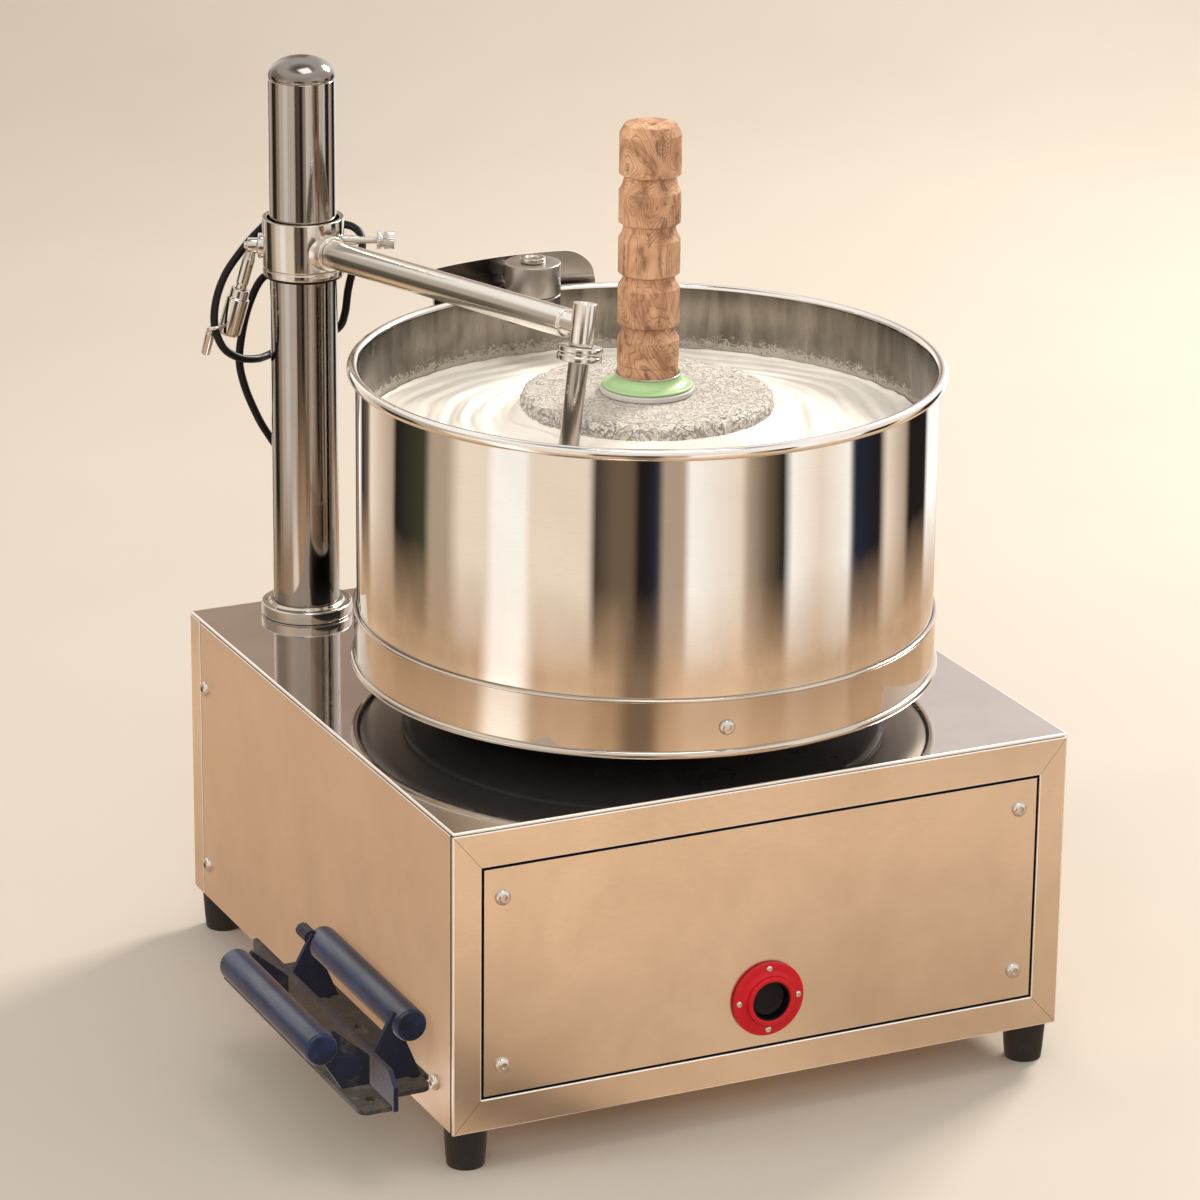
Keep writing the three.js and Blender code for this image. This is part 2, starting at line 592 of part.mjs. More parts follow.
function baseBand(axis) {
  const inner = drum.wall + seatGap;
  const outer = inner + band.sheet;
  const low = drumFloor + band.rise;
  const high = low + band.height;
  const skirt = turned([[inner, low],
    ...bead(outer, low + band.footBead, band.footBead, -Math.PI / 2, Math.PI / 2),
    ...bead(outer, high - band.topBead, band.topBead, -Math.PI / 2, Math.PI / 2),
    [inner, high], [inner, low]], bigFacets);
  const middle = (low + high) / 2;
  const place = (geometry) => alongX(geometry).rotateZ(radians(bandScrewAngle)).translate(0, 0, middle);
  add('base_band', cut(skirt, place(disc(screwHole, inner - overrun, outer + overrun, pinFacets))),
    'polishedSteel', axis);
  add('band_screw', place(screwShape(band.sheet).translate(0, 0, outer + seatGap)), 'polishedSteel', axis);
}

// Grinding stones, their pin and bush, and the batter round them
function stonePieces(axis) {
  const pinHole = centrePin.radius + seatGap;
  add('base_stone', ring(pinHole, baseStone.radius, stoneFloor, baseTop, bigFacets), 'granite', axis);
  const pinTop = stoneTop - topStone.roof - centrePin.clear;
  add('centre_pin', disc(centrePin.radius, stoneFloor, pinTop, rodFacets), 'zinc', axis);
  const bushInner = centrePin.radius + runGap;
  const bushOuter = bushInner + stoneBush.wall;
  add('stone_bush', ring(bushInner, bushOuter, stoneLow, pinTop - stoneBush.endGap, rodFacets),
    'blackPlastic', axis);
  const bore = bushOuter + runGap;
  const { radius, foot: footRadius, flare, edge, edgeDrop, roof } = topStone;
  const chipped = stoneEdgeShares.map(([inward, down]) =>
    [radius - edge * inward, stoneTop - edgeDrop * down]);
  add('top_stone', turned([[0, stoneTop - roof], [bore, stoneTop - roof], [bore, stoneLow],
    [footRadius, stoneLow], [radius, stoneLow + flare], [radius, stoneTop - edgeDrop], ...chipped,
    [radius - edge, stoneTop], [0, stoneTop]], bigFacets), 'granite', axis);
}

function batterPiece(axis) {
  const { innerGap, wallGap } = batter;
  const { stoneDrop, bankOut, bankDrop, rodOut, rodDrop, swirlOut, swirlDrop, wallDrop } = batterSlope;
  const inner = topStone.radius + innerGap;
  const outer = bowlRadius - wallGap;
  const stoneSide = baseStone.radius + innerGap;
  add('batter', turned([[inner, baseTop + seatGap], [stoneSide, baseTop + seatGap], [stoneSide, stoneFloor],
    [outer - drum.corner, stoneFloor], [outer, stoneFloor + drum.corner], [outer, stoneTop - wallDrop],
    [inner + swirlOut, stoneTop - swirlDrop], [inner + rodOut, stoneTop - rodDrop],
    [inner + bankOut, stoneTop - bankDrop], [inner, stoneTop - stoneDrop], [inner, baseTop + seatGap]],
  bigFacets), 'batter', axis);
}

function handlePieces(axis) {
  const washerLow = stoneTop + seatGap;
  const washerTop = washerLow + washer.thick;
  add('stone_washer', disc(washer.radius, washerLow, washerTop), 'grey', axis);
  const low = washerTop + seatGap;
  const { radius, rim, height, neck } = greenFlange;
  const flare = flangeShares.map(([out, up]) =>
    [neck + (radius - neck) * out, low + rim + (height - rim) * up]);
  add('handle_flange', turned([[0, low], [radius, low], [radius, low + rim], ...flare, [0, low + height]]),
    'greenPlastic', axis);
  const handleFoot = low + height + seatGap;
  const top = handleFoot + handle.length;
  const carved = handleShares.map(([down, depth]) =>
    [handle.radius - (handle.radius - handle.groove) * depth, top - handle.length * down]);
  add('wooden_handle', turned([[0, handleFoot], ...carved.reverse(), [handle.radius - handle.chamfer, top],
    [handle.knot, top], [0, top - handle.knotDepth]], rodFacets), 'wood', axis);
}

function columnPieces(axis) {
  const { radius, wall, above, cap } = column;
  const shoulder = armHeight + above;
  const top = shoulder + column.dome;
  const inner = radius - wall;
  const dome = domeShares.map(([out, up]) => [radius * out, shoulder + (top - shoulder) * up]);
  add('column', turned([[0, shoulder - cap], [inner, shoulder - cap], [inner, onTop], [radius, onTop],
    ...dome, [0, top]]), 'polishedSteel', axis);
  const bore = radius + seatGap;
  const high = onTop + columnFlange.thick;
  add('column_flange', turned([[bore, onTop], [columnFlange.radius, onTop], [columnFlange.radius, high],
    [columnFlange.step, high], [columnFlange.step, high + columnFlange.stepRise],
    [bore, high + columnFlange.stepRise], [bore, onTop]]), 'polishedSteel', axis);
}

// Frames at the column: X radial at an angle, or X along the arm
function radialGroup(parent, angle, height) {
  const group = groupAt(0, 0, height, parent);
  group.rotation.z = radians(angle);
  return group;
}

function armGroup(parent) {
  const group = groupAt(0, 0, armHeight, parent);
  group.rotation.set(radians(arm.roll), radians(-arm.pitch), radians(arm.yaw), 'ZYX');
  return group;
}

// Geometry given in a group's frame, brought into the frame of the group's parent
function inParent(geometry, group) {
  group.updateMatrix();
  return geometry.applyMatrix4(group.matrix);
}

function collarBushPiece(axis) {
  const inner = column.radius + runGap;
  const outer = inner + collarBush.wall;
  const lipHigh = collarLow - seatGap;
  const lipLow = lipHigh - collarBush.lipThick;
  const high = collarHigh - collar.wall;
  add('collar_bush', turned([[inner, lipLow], [collarBush.lip, lipLow], [collarBush.lip, lipHigh],
    [outer, lipHigh], [outer, high], [inner, high], [inner, lipLow]]), 'blackPlastic', axis);
}

// Collar with the arm's boss, the lever's pad and pin, and the block that the tether cord runs into
function collarPiece(axis) {
  const armFrame = armGroup(axis);
  const screwFrame = radialGroup(axis, clampScrew.angle, clampHeight);
  const pinFrame = radialGroup(axis, leverPin.angle, armHeight);
  const clipFrame = radialGroup(axis, cordClip.angle, armHeight);
  const body = disc(collar.radius, collarLow, collarHigh);
  const bossShape = inParent(alongX(disc(boss.radius, collarBore, boss.end, rodFacets)), armFrame);
  const pad = inParent(alongX(disc(leverPin.pad, collarBore, collar.radius + leverPin.padOut, rodFacets)),
    pinFrame);
  const stud = inParent(alongX(disc(leverPin.radius, collarBore, leverPinEnd, pinFacets)), pinFrame);
  const clip = inParent(block(collarBore - overrun, cordClip.reach, cordClip.left, cordClip.right,
    -cordClip.below, cordClip.above), clipFrame);
  const core = disc(collarBore, collarLow - overrun, collarHigh + overrun);
  const journalHole = inParent(alongX(disc(boss.journal + runGap, 0, boss.end + overrun, rodFacets)),
    armFrame);
  const screwBore = inParent(alongX(disc(clampScrew.neck + runGap, 0, collar.radius + overrun, pinFacets)),
    screwFrame);
  const outside = join(body, bossShape, pad, stud, clip);
  add('arm_collar', cut(outside, core, journalHole, screwBore), 'polishedSteel', axis);
}

function clampScrewPiece(axis) {
  const frame = radialGroup(axis, clampScrew.angle, clampHeight);
  const { radius, neck, neckEnd, start } = clampScrew;
  const headEnd = clampHead.start + clampHead.length;
  const waistStart = clampHead.start + clampHead.flange;
  const waistEnd = waistStart + clampHead.waistLength;
  add('clamp_screw', alongX(turned([[0, start], [neck, start], [neck, neckEnd], [radius, neckEnd],
    [radius, clampHead.start], [clampHead.radius, clampHead.start], [clampHead.radius, waistStart],
    [clampHead.waist, waistStart], [clampHead.waist, waistEnd], [clampHead.radius, waistEnd],
    [clampHead.radius, headEnd], [0, headEnd]], rodFacets)), 'polishedSteel', frame);
}

// Lever on its pin, hanging a little outward, with a larger grip on its end
function leverPieces(axis) {
  const frame = radialGroup(axis, leverPin.angle, armHeight);
  const hubEnd = leverStart + lever.hubLength;
  const hang = (geometry) => geometry.rotateY(radians(-lever.tilt))
    .translate((leverStart + hubEnd) / 2, 0, 0);
  const hub = alongX(disc(lever.hub, leverStart, hubEnd, rodFacets));
  const shank = hang(disc(lever.rod, -leverGrip.start - leverGrip.socket, -lever.rodStart, rodFacets));
  const bore = alongX(disc(leverPin.radius + runGap, leverStart - overrun, hubEnd + overrun, pinFacets));
  add('lock_lever', cut(join(hub, shank), bore), 'polishedSteel', frame);
  const { start, end, radius, shoulder, shoulderLength, socket } = leverGrip;
  const hole = lever.rod + seatGap;
  const holeEnd = -start - socket - seatGap;
  add('lever_grip', hang(turned([[0, -end], [radius - lever.ease, -end], [radius, -end + lever.ease],
    [radius, -start - shoulderLength], [shoulder, -start - shoulderLength], [shoulder, -start],
    [hole, -start], [hole, holeEnd], [0, holeEnd]], rodFacets)), 'polishedSteel', frame);
}

// Arm with its journal in the boss, and the sleeve, ring and rod at its end
function armPieces(axis) {
  const frame = armGroup(axis);
  const { radius, seam, reach } = arm;
  const tube = alongX(turned([[0, boss.journalStart], [boss.journal, boss.journalStart],
    [boss.journal, boss.end + seatGap], [radius, boss.end + seatGap], [radius, seam], [spigot, seam],
    [spigot, reach], [0, reach]], rodFacets));
  const { radius: outer, top, low, roof, dimple, dimpleDepth } = sleeve;
  const bore = rod.radius + runGap;
  const shell = turned([[0, low], [outer, low], [outer, top], [dimple, top], [0, top - dimpleDepth]],
    rodFacets);
  const hole = disc(bore, low - overrun, top - roof, rodFacets);
  add('arm_tube', cut(join(tube, shell.translate(reach, 0, 0)), hole.translate(reach, 0, 0)), 'polishedSteel',
    frame);
  const ringHigh = low - seatGap;
  const ringLow = ringHigh - clampRing.thick;
  const side = clampRing.radius + overrun;
  const flat = block(-side, side, -side, -clampRing.flat, ringLow - overrun, ringHigh + overrun);
  const slit = clampRing.split / 2;
  const split = block(0, side, -slit, slit, ringLow - overrun, ringHigh + overrun);
  const body = cut(ring(bore, clampRing.radius, ringLow, ringHigh, rodFacets), flat, split);
  add('clamp_ring', body.translate(reach, 0, 0), 'polishedSteel', frame);
  add('scraper_rod', disc(rod.radius, rod.tip, rod.top, rodFacets).translate(reach, 0, 0), 'polishedSteel',
    frame);
}

// Tether cord, and the pin that hangs on it by an eye
function tetherCord(axis) {
  const points = cordRoute.map(([x, y, z]) => new THREE.Vector3(x, y, armHeight + z));
  const curve = new THREE.CatmullRomCurve3(points, false, 'centripetal');
  const steps = Math.round(curve.getLength() / cord.step);
  const section = new THREE.Shape().absarc(0, 0, cord.diameter / 2, 0, 2 * Math.PI, false);
  const options = { steps, curveSegments: cord.sides / 2, extrudePath: curve };
  const tube = new THREE.ExtrudeGeometry(section, options);
  add('tether_cord', tube, 'rubber', axis);
}

function tetherPinPiece(axis) {
  const [before, centre, after] = [-1, 0, 1].map((step) =>
    new THREE.Vector3(...cordRoute[eyeIndex + step]));
  const along = after.sub(before).normalize();
  const middle = cord.diameter / 2 + tetherEye.play + tetherEye.tube;
  const upright = new THREE.Vector3(0, 0, 1);
  const eye = new THREE.TorusGeometry(middle, tetherEye.tube, beadFacets, pinFacets);
  eye.applyQuaternion(new THREE.Quaternion().setFromUnitVectors(upright, along));
  const lean = radians(tetherPin.lean);
  const down = new THREE.Vector3(0, Math.sin(lean), -Math.cos(lean));
  const outward = down.clone().addScaledVector(along, -down.dot(along)).normalize();
  const start = outward.multiplyScalar(middle + tetherEye.tube).addScaledVector(down, -tetherPin.set);
  const pin = disc(tetherPin.radius, 0, tetherPin.length, pinFacets);
  pin.applyQuaternion(new THREE.Quaternion().setFromUnitVectors(upright, down)).translate(...start);
  const hung = join(eye, pin).translate(centre.x, centre.y, armHeight + centre.z);
  add('tether_pin', hung, 'polishedSteel', axis);
}

// Curved guard behind the drum: rounded at its upper right corner, with a foot turned out onto the top plate
function guardPiece(axis) {
  const { radius, sheet, corner, halfWidth: half, footDepth } = guard;
  const top = rimHeight + guard.rise;
  const wall = ring(radius, radius + sheet, onTop, top, guardFacets);
  const lowFlange = ring(radius, radius + footDepth, onTop, onTop + sheet, guardFacets);
  const outline = rounded([[-half, onTop, 0], [half, onTop, 0], [half, top, 0], [-half, top, corner]]);
  const sector = facing(outline, 0, radius + footDepth + overrun);
  const frame = radialGroup(axis, guard.angle, 0);
  add('guard', toGeometry(toSolid(join(wall, lowFlange)).intersect(toSolid(sector))), 'polishedSteel', frame);
}

// Steady roller that bears on the inside of the drum's rim, under a housing carried by the guard
function rollerPieces(axis) {
  const frame = radialGroup(axis, roller.angle, rimHeight);
  const centre = bowlRadius - roller.contact - roller.radius;
  const bore = rollerAxle.radius + runGap;
  const body = disc(roller.radius, roller.split, roller.top);
  const half = rollerTab.width / 2;
  const tab = block(0, guard.radius - seatGap - centre, -half, half, rollerTab.low, rollerTab.high);
  const hole = disc(bore, roller.split - overrun, roller.top + overrun, rodFacets);
  add('roller_housing', cut(join(body, tab), hole).translate(centre, 0, 0), 'polishedSteel', frame);
  const wheel = ring(bore, roller.radius, roller.low, roller.split - runGap);
  add('rim_roller', wheel.translate(centre, 0, 0), 'darkSteel', frame);
  const { radius, nut, nutThick, foot: footRadius, footThick, slot, slotDepth } = rollerAxle;
  const footHigh = roller.low - runGap;
  const nutLow = roller.top + seatGap;
  const nutHigh = nutLow + nutThick;
  const pin = turned([[0, footHigh - footThick], [footRadius, footHigh - footThick], [footRadius, footHigh],
    [radius, footHigh], [radius, nutLow], [nut, nutLow], [nut, nutHigh], [0, nutHigh]], rodFacets);
  const groove = block(-nut - overrun, nut + overrun, -slot / 2, slot / 2, nutHigh - slotDepth,
    nutHigh + overrun);
  add('roller_axle', cut(pin, groove).translate(centre, 0, 0), 'polishedSteel', frame);
}

// Carrying bracket: base sheet with two tabs, upright plate, webs up to the grips, lip against the cabinet
function bracketBase() {
  const { corner, hole, leftIn, leftBack, rightIn, rightBack } = bracketTab;
  const { front, rightFront, rear, base, sheet } = bracket;
  const [left, plateX] = [bracketLeft, bracketPlateX];
  const outline = rounded([[left, front, corner], [plateX, front, 0], [plateX, rightFront, 0],
    [wallSide - tabRelief.depth, rightFront, corner], [wallSide - tabRelief.depth, tabRelief.back, 0],
    [wallSide, tabRelief.back, 0], [wallSide, rear, 0], [left, rear, 0]]);
  outline.holes.push(roundHole(left + leftIn, front + leftBack, hole));
  outline.holes.push(roundHole(wallSide - rightIn, rightFront + rightBack, hole));
  for (const y of [bracketSlot.rear, bracketSlot.front]) {
    const { out, length, width } = bracketSlot;
    outline.holes.push(slotHole(wallSide - out, y, length, width, Math.PI / 2));
  }
  return extruded(outline, sheet).translate(0, 0, base - sheet);
}

function bracketUpright() {
  const { rear, plateTop, base, sheet } = bracket;
  const { front, cut: chamfer } = bracketPlate;
  const outline = rounded([[front, base - sheet, 0], [rear, base - sheet, 0], [rear, plateTop, 0],
    [front + chamfer, plateTop, 0], [front, plateTop - chamfer, 0]]);
  return facing(outline, bracketPlateX - sheet / 2, sheet);
}

function bracketWebAt(bar, footX, towardPlate, y) {
  const { plateTop, base, sheet } = bracket;
  const [plateX, barX] = [bracketPlateX, wallSide - bar.out];
  const [low, high] = webShares.map(([across, up]) =>
    [barX + towardPlate * across * grip.radius, bar.height + up * grip.radius, 0]);
  const outline = rounded([[plateX, base - sheet / 2, 0], [footX, base - sheet / 2, 0], low,
    [barX, bar.height, 0], high, [plateX, plateTop - bracketWeb.drop, 0]]);
  return standing(outline, y - sheet / 2, sheet);
}

function bracketPieces() {
  const { base, sheet } = bracket;
  const parts = [bracketUpright()];
  for (const y of [bracketWeb.front, bracketWeb.rear]) {
    parts.push(bracketWebAt(outerGrip, bracketLeft + bracketWeb.footIn, 1, y));
    parts.push(bracketWebAt(innerGrip, wallSide - bracketWeb.footIn, -1, y));
  }
  parts.push(block(wallSide - sheet, wallSide, bracketLip.front, bracketLip.rear, bracketLip.low,
    base - sheet / 2));
  const stubEnd = bracketWeb.rear + bracketStub.length;
  parts.push(alongY(disc(bracketStub.radius, bracketWeb.rear, stubEnd, pinFacets))
    .translate(wallSide - bracketStub.out, 0, bracketStub.height));
  const notch = (bar) => alongY(disc(grip.radius + seatGap, grip.front - overrun, grip.rear + seatGap,
    rodFacets)).translate(wallSide - bar.out, 0, bar.height);
  add('handle_bracket', cut(join(bracketBase(), ...parts), notch(innerGrip), notch(outerGrip)), 'navyPaint');
  const { radius, front, rear, round } = grip;
  for (const [name, bar] of [['inner_grip', innerGrip], ['outer_grip', outerGrip]]) {
    const shape = turned([[0, front], [radius - round, front], [radius, front + round],
      [radius, rear - round], [radius - round, rear], [0, rear]], rodFacets);
    add(name, alongY(shape).translate(wallSide - bar.out, 0, bar.height), 'navyPaint');
  }
}

function cabinetPieces() {
  topPlate();
  frontFramePiece();
  frontPanelPiece();
  panelScrews();
  sidePanels();
  backPanel();
  basePlate();
  feet();
  powerButton();
}

function drumGroup() {
  const axis = groupAt(0, -drumBack, 0);
  drumDrive(axis);
  spindleHousing(axis);
  drumShell(axis);
  baseBand(axis);
  stonePieces(axis);
  batterPiece(axis);
  handlePieces(axis);
  guardPiece(axis);
  rollerPieces(axis);
}

function columnGroup() {
  const axis = groupAt(column.x, column.y, 0);
  columnPieces(axis);
  collarBushPiece(axis);
  collarPiece(axis);
  clampScrewPiece(axis);
  leverPieces(axis);
  armPieces(axis);
  return axis;
}

cabinetPieces();
drumGroup();
motorPieces();
beltPiece();
cordGland();
bracketPieces();
const columnAxis = columnGroup();

// The origin lies under the middle of everything but the cord
const bounds = new THREE.Box3().setFromObject(model, true);
const middle = bounds.getCenter(new THREE.Vector3());
model.position.set(-middle.x, -middle.y, -bounds.min.z);
tetherCord(columnAxis);
tetherPinPiece(columnAxis);

const machine = new THREE.Group();
machine.add(model);
export default machine;
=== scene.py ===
import json
from math import asin, cos, exp, pi, radians, sin, sqrt
import bmesh
import bpy
from mathutils import Matrix, Vector, noise


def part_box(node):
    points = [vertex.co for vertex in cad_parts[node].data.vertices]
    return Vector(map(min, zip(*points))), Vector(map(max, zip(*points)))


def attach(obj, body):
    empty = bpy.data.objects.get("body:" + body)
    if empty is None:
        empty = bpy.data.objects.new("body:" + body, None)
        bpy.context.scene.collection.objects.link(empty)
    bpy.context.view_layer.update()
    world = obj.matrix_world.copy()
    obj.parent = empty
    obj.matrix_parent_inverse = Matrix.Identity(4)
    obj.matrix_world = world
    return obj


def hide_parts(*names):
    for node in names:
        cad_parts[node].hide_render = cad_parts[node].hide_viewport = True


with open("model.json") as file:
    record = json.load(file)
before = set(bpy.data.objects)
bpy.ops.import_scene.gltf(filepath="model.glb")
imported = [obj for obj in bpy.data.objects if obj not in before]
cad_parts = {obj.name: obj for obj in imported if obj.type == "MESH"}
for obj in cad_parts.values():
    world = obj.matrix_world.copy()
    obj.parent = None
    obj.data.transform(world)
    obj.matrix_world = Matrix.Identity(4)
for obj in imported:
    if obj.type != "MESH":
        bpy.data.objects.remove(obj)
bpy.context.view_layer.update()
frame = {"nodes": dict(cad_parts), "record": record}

# Lengths are in millimetres from the floor under the cabinet's middle. TO_FRAME brings them into the frame.
MM = 0.001
TO_FRAME = Matrix.Translation((0.039, -0.000725739, 0)) @ Matrix.Scale(MM, 4)
BODY_OF = {node: body for body, nodes in frame["record"]["behaviour"]["bodies"].items() for node in nodes}
TURN = 2 * pi

CAMERA = {"azimuth": -25.434, "height_angle": 19.179, "roll": 0.592, "place": (-1257.9, -2622.0, 1271.3)}
DRUM = (0, -40, 0)
DRUM_IN_FRAME = (0.039, -0.0407)  # metres
COLUMN = (-133, 179, 0)
ARM = {"height": 455, "yaw": -75.92, "pitch": 2.1, "roll": 9.7, "reach": 275.9}
HALF_WIDTH, FRONT, UNDER, SEAT = 201, -209, 25, 214.3
RIM, STONE_TOP, DRUM_WALL = 420.5, 405.7, 175
CORD = 5
# Direction across the photo, in degrees, with which the column's fittings and the backdrop line up
ACROSS = -25.4


# Camera
def make_camera():
    az, el, roll = (radians(CAMERA[key]) for key in ("azimuth", "height_angle", "roll"))
    back = Vector((sin(az) * cos(el), -cos(az) * cos(el), sin(el)))
    right = Vector((cos(az), sin(az), 0))
    up = back.cross(right)
    right, up = right * cos(roll) + up * sin(roll), up * cos(roll) - right * sin(roll)
    data = bpy.data.cameras.new("photo_camera")
    data.lens, data.sensor_width, data.clip_start, data.clip_end = 150, 36, 0.1, 60
    camera = added("photo_camera", data)
    place = TO_FRAME @ Vector(CAMERA["place"])
    camera.matrix_world = Matrix.Translation(place) @ Matrix((right, up, back)).transposed().to_4x4()
    bpy.context.scene.camera = camera


def added(name, data):
    obj = bpy.data.objects.new(name, data)
    bpy.context.scene.collection.objects.link(obj)
    return obj


# Materials
class Nodes:
    """A node tree, with the few kinds of node that the looks need."""

    def __init__(self, tree):
        self.tree = tree

    def node(self, kind, source=None, **values):
        made = self.tree.nodes.new("ShaderNode" + kind)
        if source is not None:
            self.link(source, made.inputs[0])
        for socket, value in values.items():
            self.link(value, made.inputs[socket])
        return made

    def link(self, source, target):
        if isinstance(source, bpy.types.NodeSocket):
            self.tree.links.new(source, target)
        elif target.type == "RGBA":
            target.default_value = (*source[:3], 1)
        else:
            target.default_value = source

    def calc(self, kind, *values):
        made = self.node("Math")
        made.operation = kind
        for socket, value in zip(made.inputs, values):
            self.link(value, socket)
        return made.outputs[0]

    def plus(self, a, b):
        return self.calc("ADD", a, b)

    def minus(self, a, b):
        return self.calc("SUBTRACT", a, b)

    def times(self, a, b):
        return self.calc("MULTIPLY", a, b)

    def ramp(self, source, *stops):
        made = self.node("ValToRGB", source)
        elements = made.color_ramp.elements
        while len(elements) < len(stops):
            elements.new(1)
        for element, (position, colour) in zip(elements, stops):
            element.position = position
            element.color = (*colour, 1) if hasattr(colour, "__len__") else (colour, colour, colour, 1)
        return made.outputs[0]

    def span(self, source, low, high, start=0.0, end=1.0):
        """Source from low to high, brought to start to end."""
        made = self.node("MapRange", source)
        for i, value in enumerate((low, high, start, end), 1):
            made.inputs[i].default_value = value
        return made.outputs[0]

    def mix(self, factor, a, b, kind="MIX"):
        made = self.node("Mix", factor)
        made.data_type, made.blend_type = "RGBA", kind
        self.link(a, made.inputs[6])
        self.link(b, made.inputs[7])
        return made.outputs[2]

    def compass(self, x, y):
        """Way that (x, y) points: 0.5 towards the camera, and more to the camera's right."""
        az = radians(CAMERA["azimuth"])
        across = self.plus(self.times(x, cos(az)), self.times(y, sin(az)))
        toward = self.minus(self.times(x, sin(az)), self.times(y, cos(az)))
        return self.calc("MULTIPLY_ADD", self.calc("ARCTAN2", across, toward), 1 / TURN, 0.5)

    def bands(self, turn, *stops):
        """Colours at angles in degrees from the camera's direction."""
        return self.ramp(turn, *((angle / 360 + 0.5, colour) for angle, colour in stops))


class Shader(Nodes):
    """Node tree round a Principled BSDF. Coordinates are the object's own, in metres."""

    def __init__(self, name, **values):
        self.material = bpy.data.materials.new(name)
        self.material.use_nodes = True
        super().__init__(self.material.node_tree)
        self.bsdf = self.tree.nodes["Principled BSDF"]
        self.place = self.node("TexCoord").outputs["Object"]
        for key, value in values.items():
            self.put(key.replace("_", " ").title().replace("Ior", "IOR"), value)

    def put(self, socket, value):
        self.link(value, self.bsdf.inputs[socket])

    def stretched(self, scale, turn=(0, 0, 0), source=None):
        return self.node("Mapping", source or self.place, Scale=scale, Rotation=turn).outputs[0]

    def noise(self, scale, detail=4, rough=0.55, distort=0, place=None):
        return self.node("TexNoise", place or self.place, Scale=scale, Detail=detail, Roughness=rough,
                         Distortion=distort).outputs[0]

    def cells(self, scale):
        return self.node("TexVoronoi", self.place, Scale=scale).outputs[0]

    def axis(self, letter, source=None):
        return self.node("SeparateXYZ", source or self.place).outputs[letter]

    def from_drum(self):
        """Way to the right of the drum's axis, way behind it, and distance from it."""
        x, y = (self.minus(self.axis(letter), middle) for letter, middle in zip("XY", DRUM_IN_FRAME))
        return x, y, self.calc("POWER", self.plus(self.times(x, x), self.times(y, y)), 0.5)

    def bump(self, height, strength, distance=MM, normal=None):
        made = self.node("Bump", Strength=strength, Distance=distance, Height=height)
        if normal is not None:
            self.link(normal, made.inputs["Normal"])
        self.put("Normal", made.outputs[0])
        return made.outputs[0]


def shaded(colour, share):
    return tuple(c * share for c in colour)


def steel(name, colour, rough, spread, brush=(1, 1, 1), brush_scale=300.0, brush_bump=0.02, cloud=0.06,
          aniso=0.0, scratch=0.0, metal=1.0, turn=0.0):
    """Stainless steel with brush lines along the short direction of `brush`, cloudy polish and fine scratches."""
    s = Shader(name, metallic=metal)
    turned_place = s.stretched((1, 1, 1), (0, 0, radians(turn)))
    lines = s.noise(brush_scale, 3, 0.6, 0, s.stretched(brush, source=turned_place))
    clouds = s.noise(14, 5, 0.6, 0.4)
    tone = s.mix(s.span(clouds, 0.35, 0.65), shaded(colour, 1 - cloud * 2.2), colour)
    s.put("Base Color", s.mix(s.span(lines, 0.3, 0.7, 0, 0.22), tone, shaded(colour, 0.82)))
    both = s.plus(s.times(lines, 0.6), s.times(clouds, 0.4))
    s.put("Roughness", s.span(both, 0.35, 0.65, rough, rough + spread))
    normal = s.bump(lines, brush_bump, 0.4 * MM)
    if scratch:
        thin = s.ramp(s.noise(60, 2, 0.5, 2.5), (0.49, 0.0), (0.5, 1.0), (0.51, 0.0))
        s.bump(thin, scratch, 0.2 * MM, normal)
    if aniso:
        s.put("Anisotropic", aniso)
        tangent = s.node("Tangent")
        tangent.direction_type, tangent.axis = "RADIAL", "Z"
        s.put("Tangent", tangent.outputs[0])
    return s.material


def drum_inner():
    """Inside of the drum: duller steel, darker than the outside as a painted shade, with a thin line of splashed batter
    above its level.
    """
    s = Shader("drum_inner_steel", metallic=1.0)
    height = s.axis("Z")
    streak = s.noise(9, 5, 0.65, 0.6, s.stretched((9, 9, 1.6)))
    # Dark steel tone: painted shade inside the drum.
    steel_tone = s.mix(s.span(streak, 0.35, 0.7), (0.13, 0.112, 0.094), (0.27, 0.24, 0.205))
    splash = s.noise(300, 6, 0.75, 1.2, s.stretched((1, 1, 1.6)))
    run = s.noise(60, 4, 0.6, 0.8, s.stretched((1, 1, 0.5)))
    edge = s.span(s.minus(height, s.times(run, 0.010)), 0.378, 0.392, 0.36, 0.72)
    wet = s.span(s.minus(splash, edge), 0.0, 0.05)
    film = s.times(s.span(height, 0.385, 0.415, 0.30, 0.0), s.span(s.noise(45, 5, 0.7), 0.42, 0.62))
    soft = s.calc("MAXIMUM", s.times(wet, 0.7), film)
    s.put("Base Color", s.mix(soft, steel_tone, (0.50, 0.46, 0.40)))
    s.put("Metallic", s.span(soft, 0, 1, 1, 0.15))
    s.put("Roughness", s.span(streak, 0.3, 0.7, 0.14, 0.3))
    s.bump(s.plus(soft, s.times(streak, 0.2)), 0.12, 0.4 * MM)
    return s.material


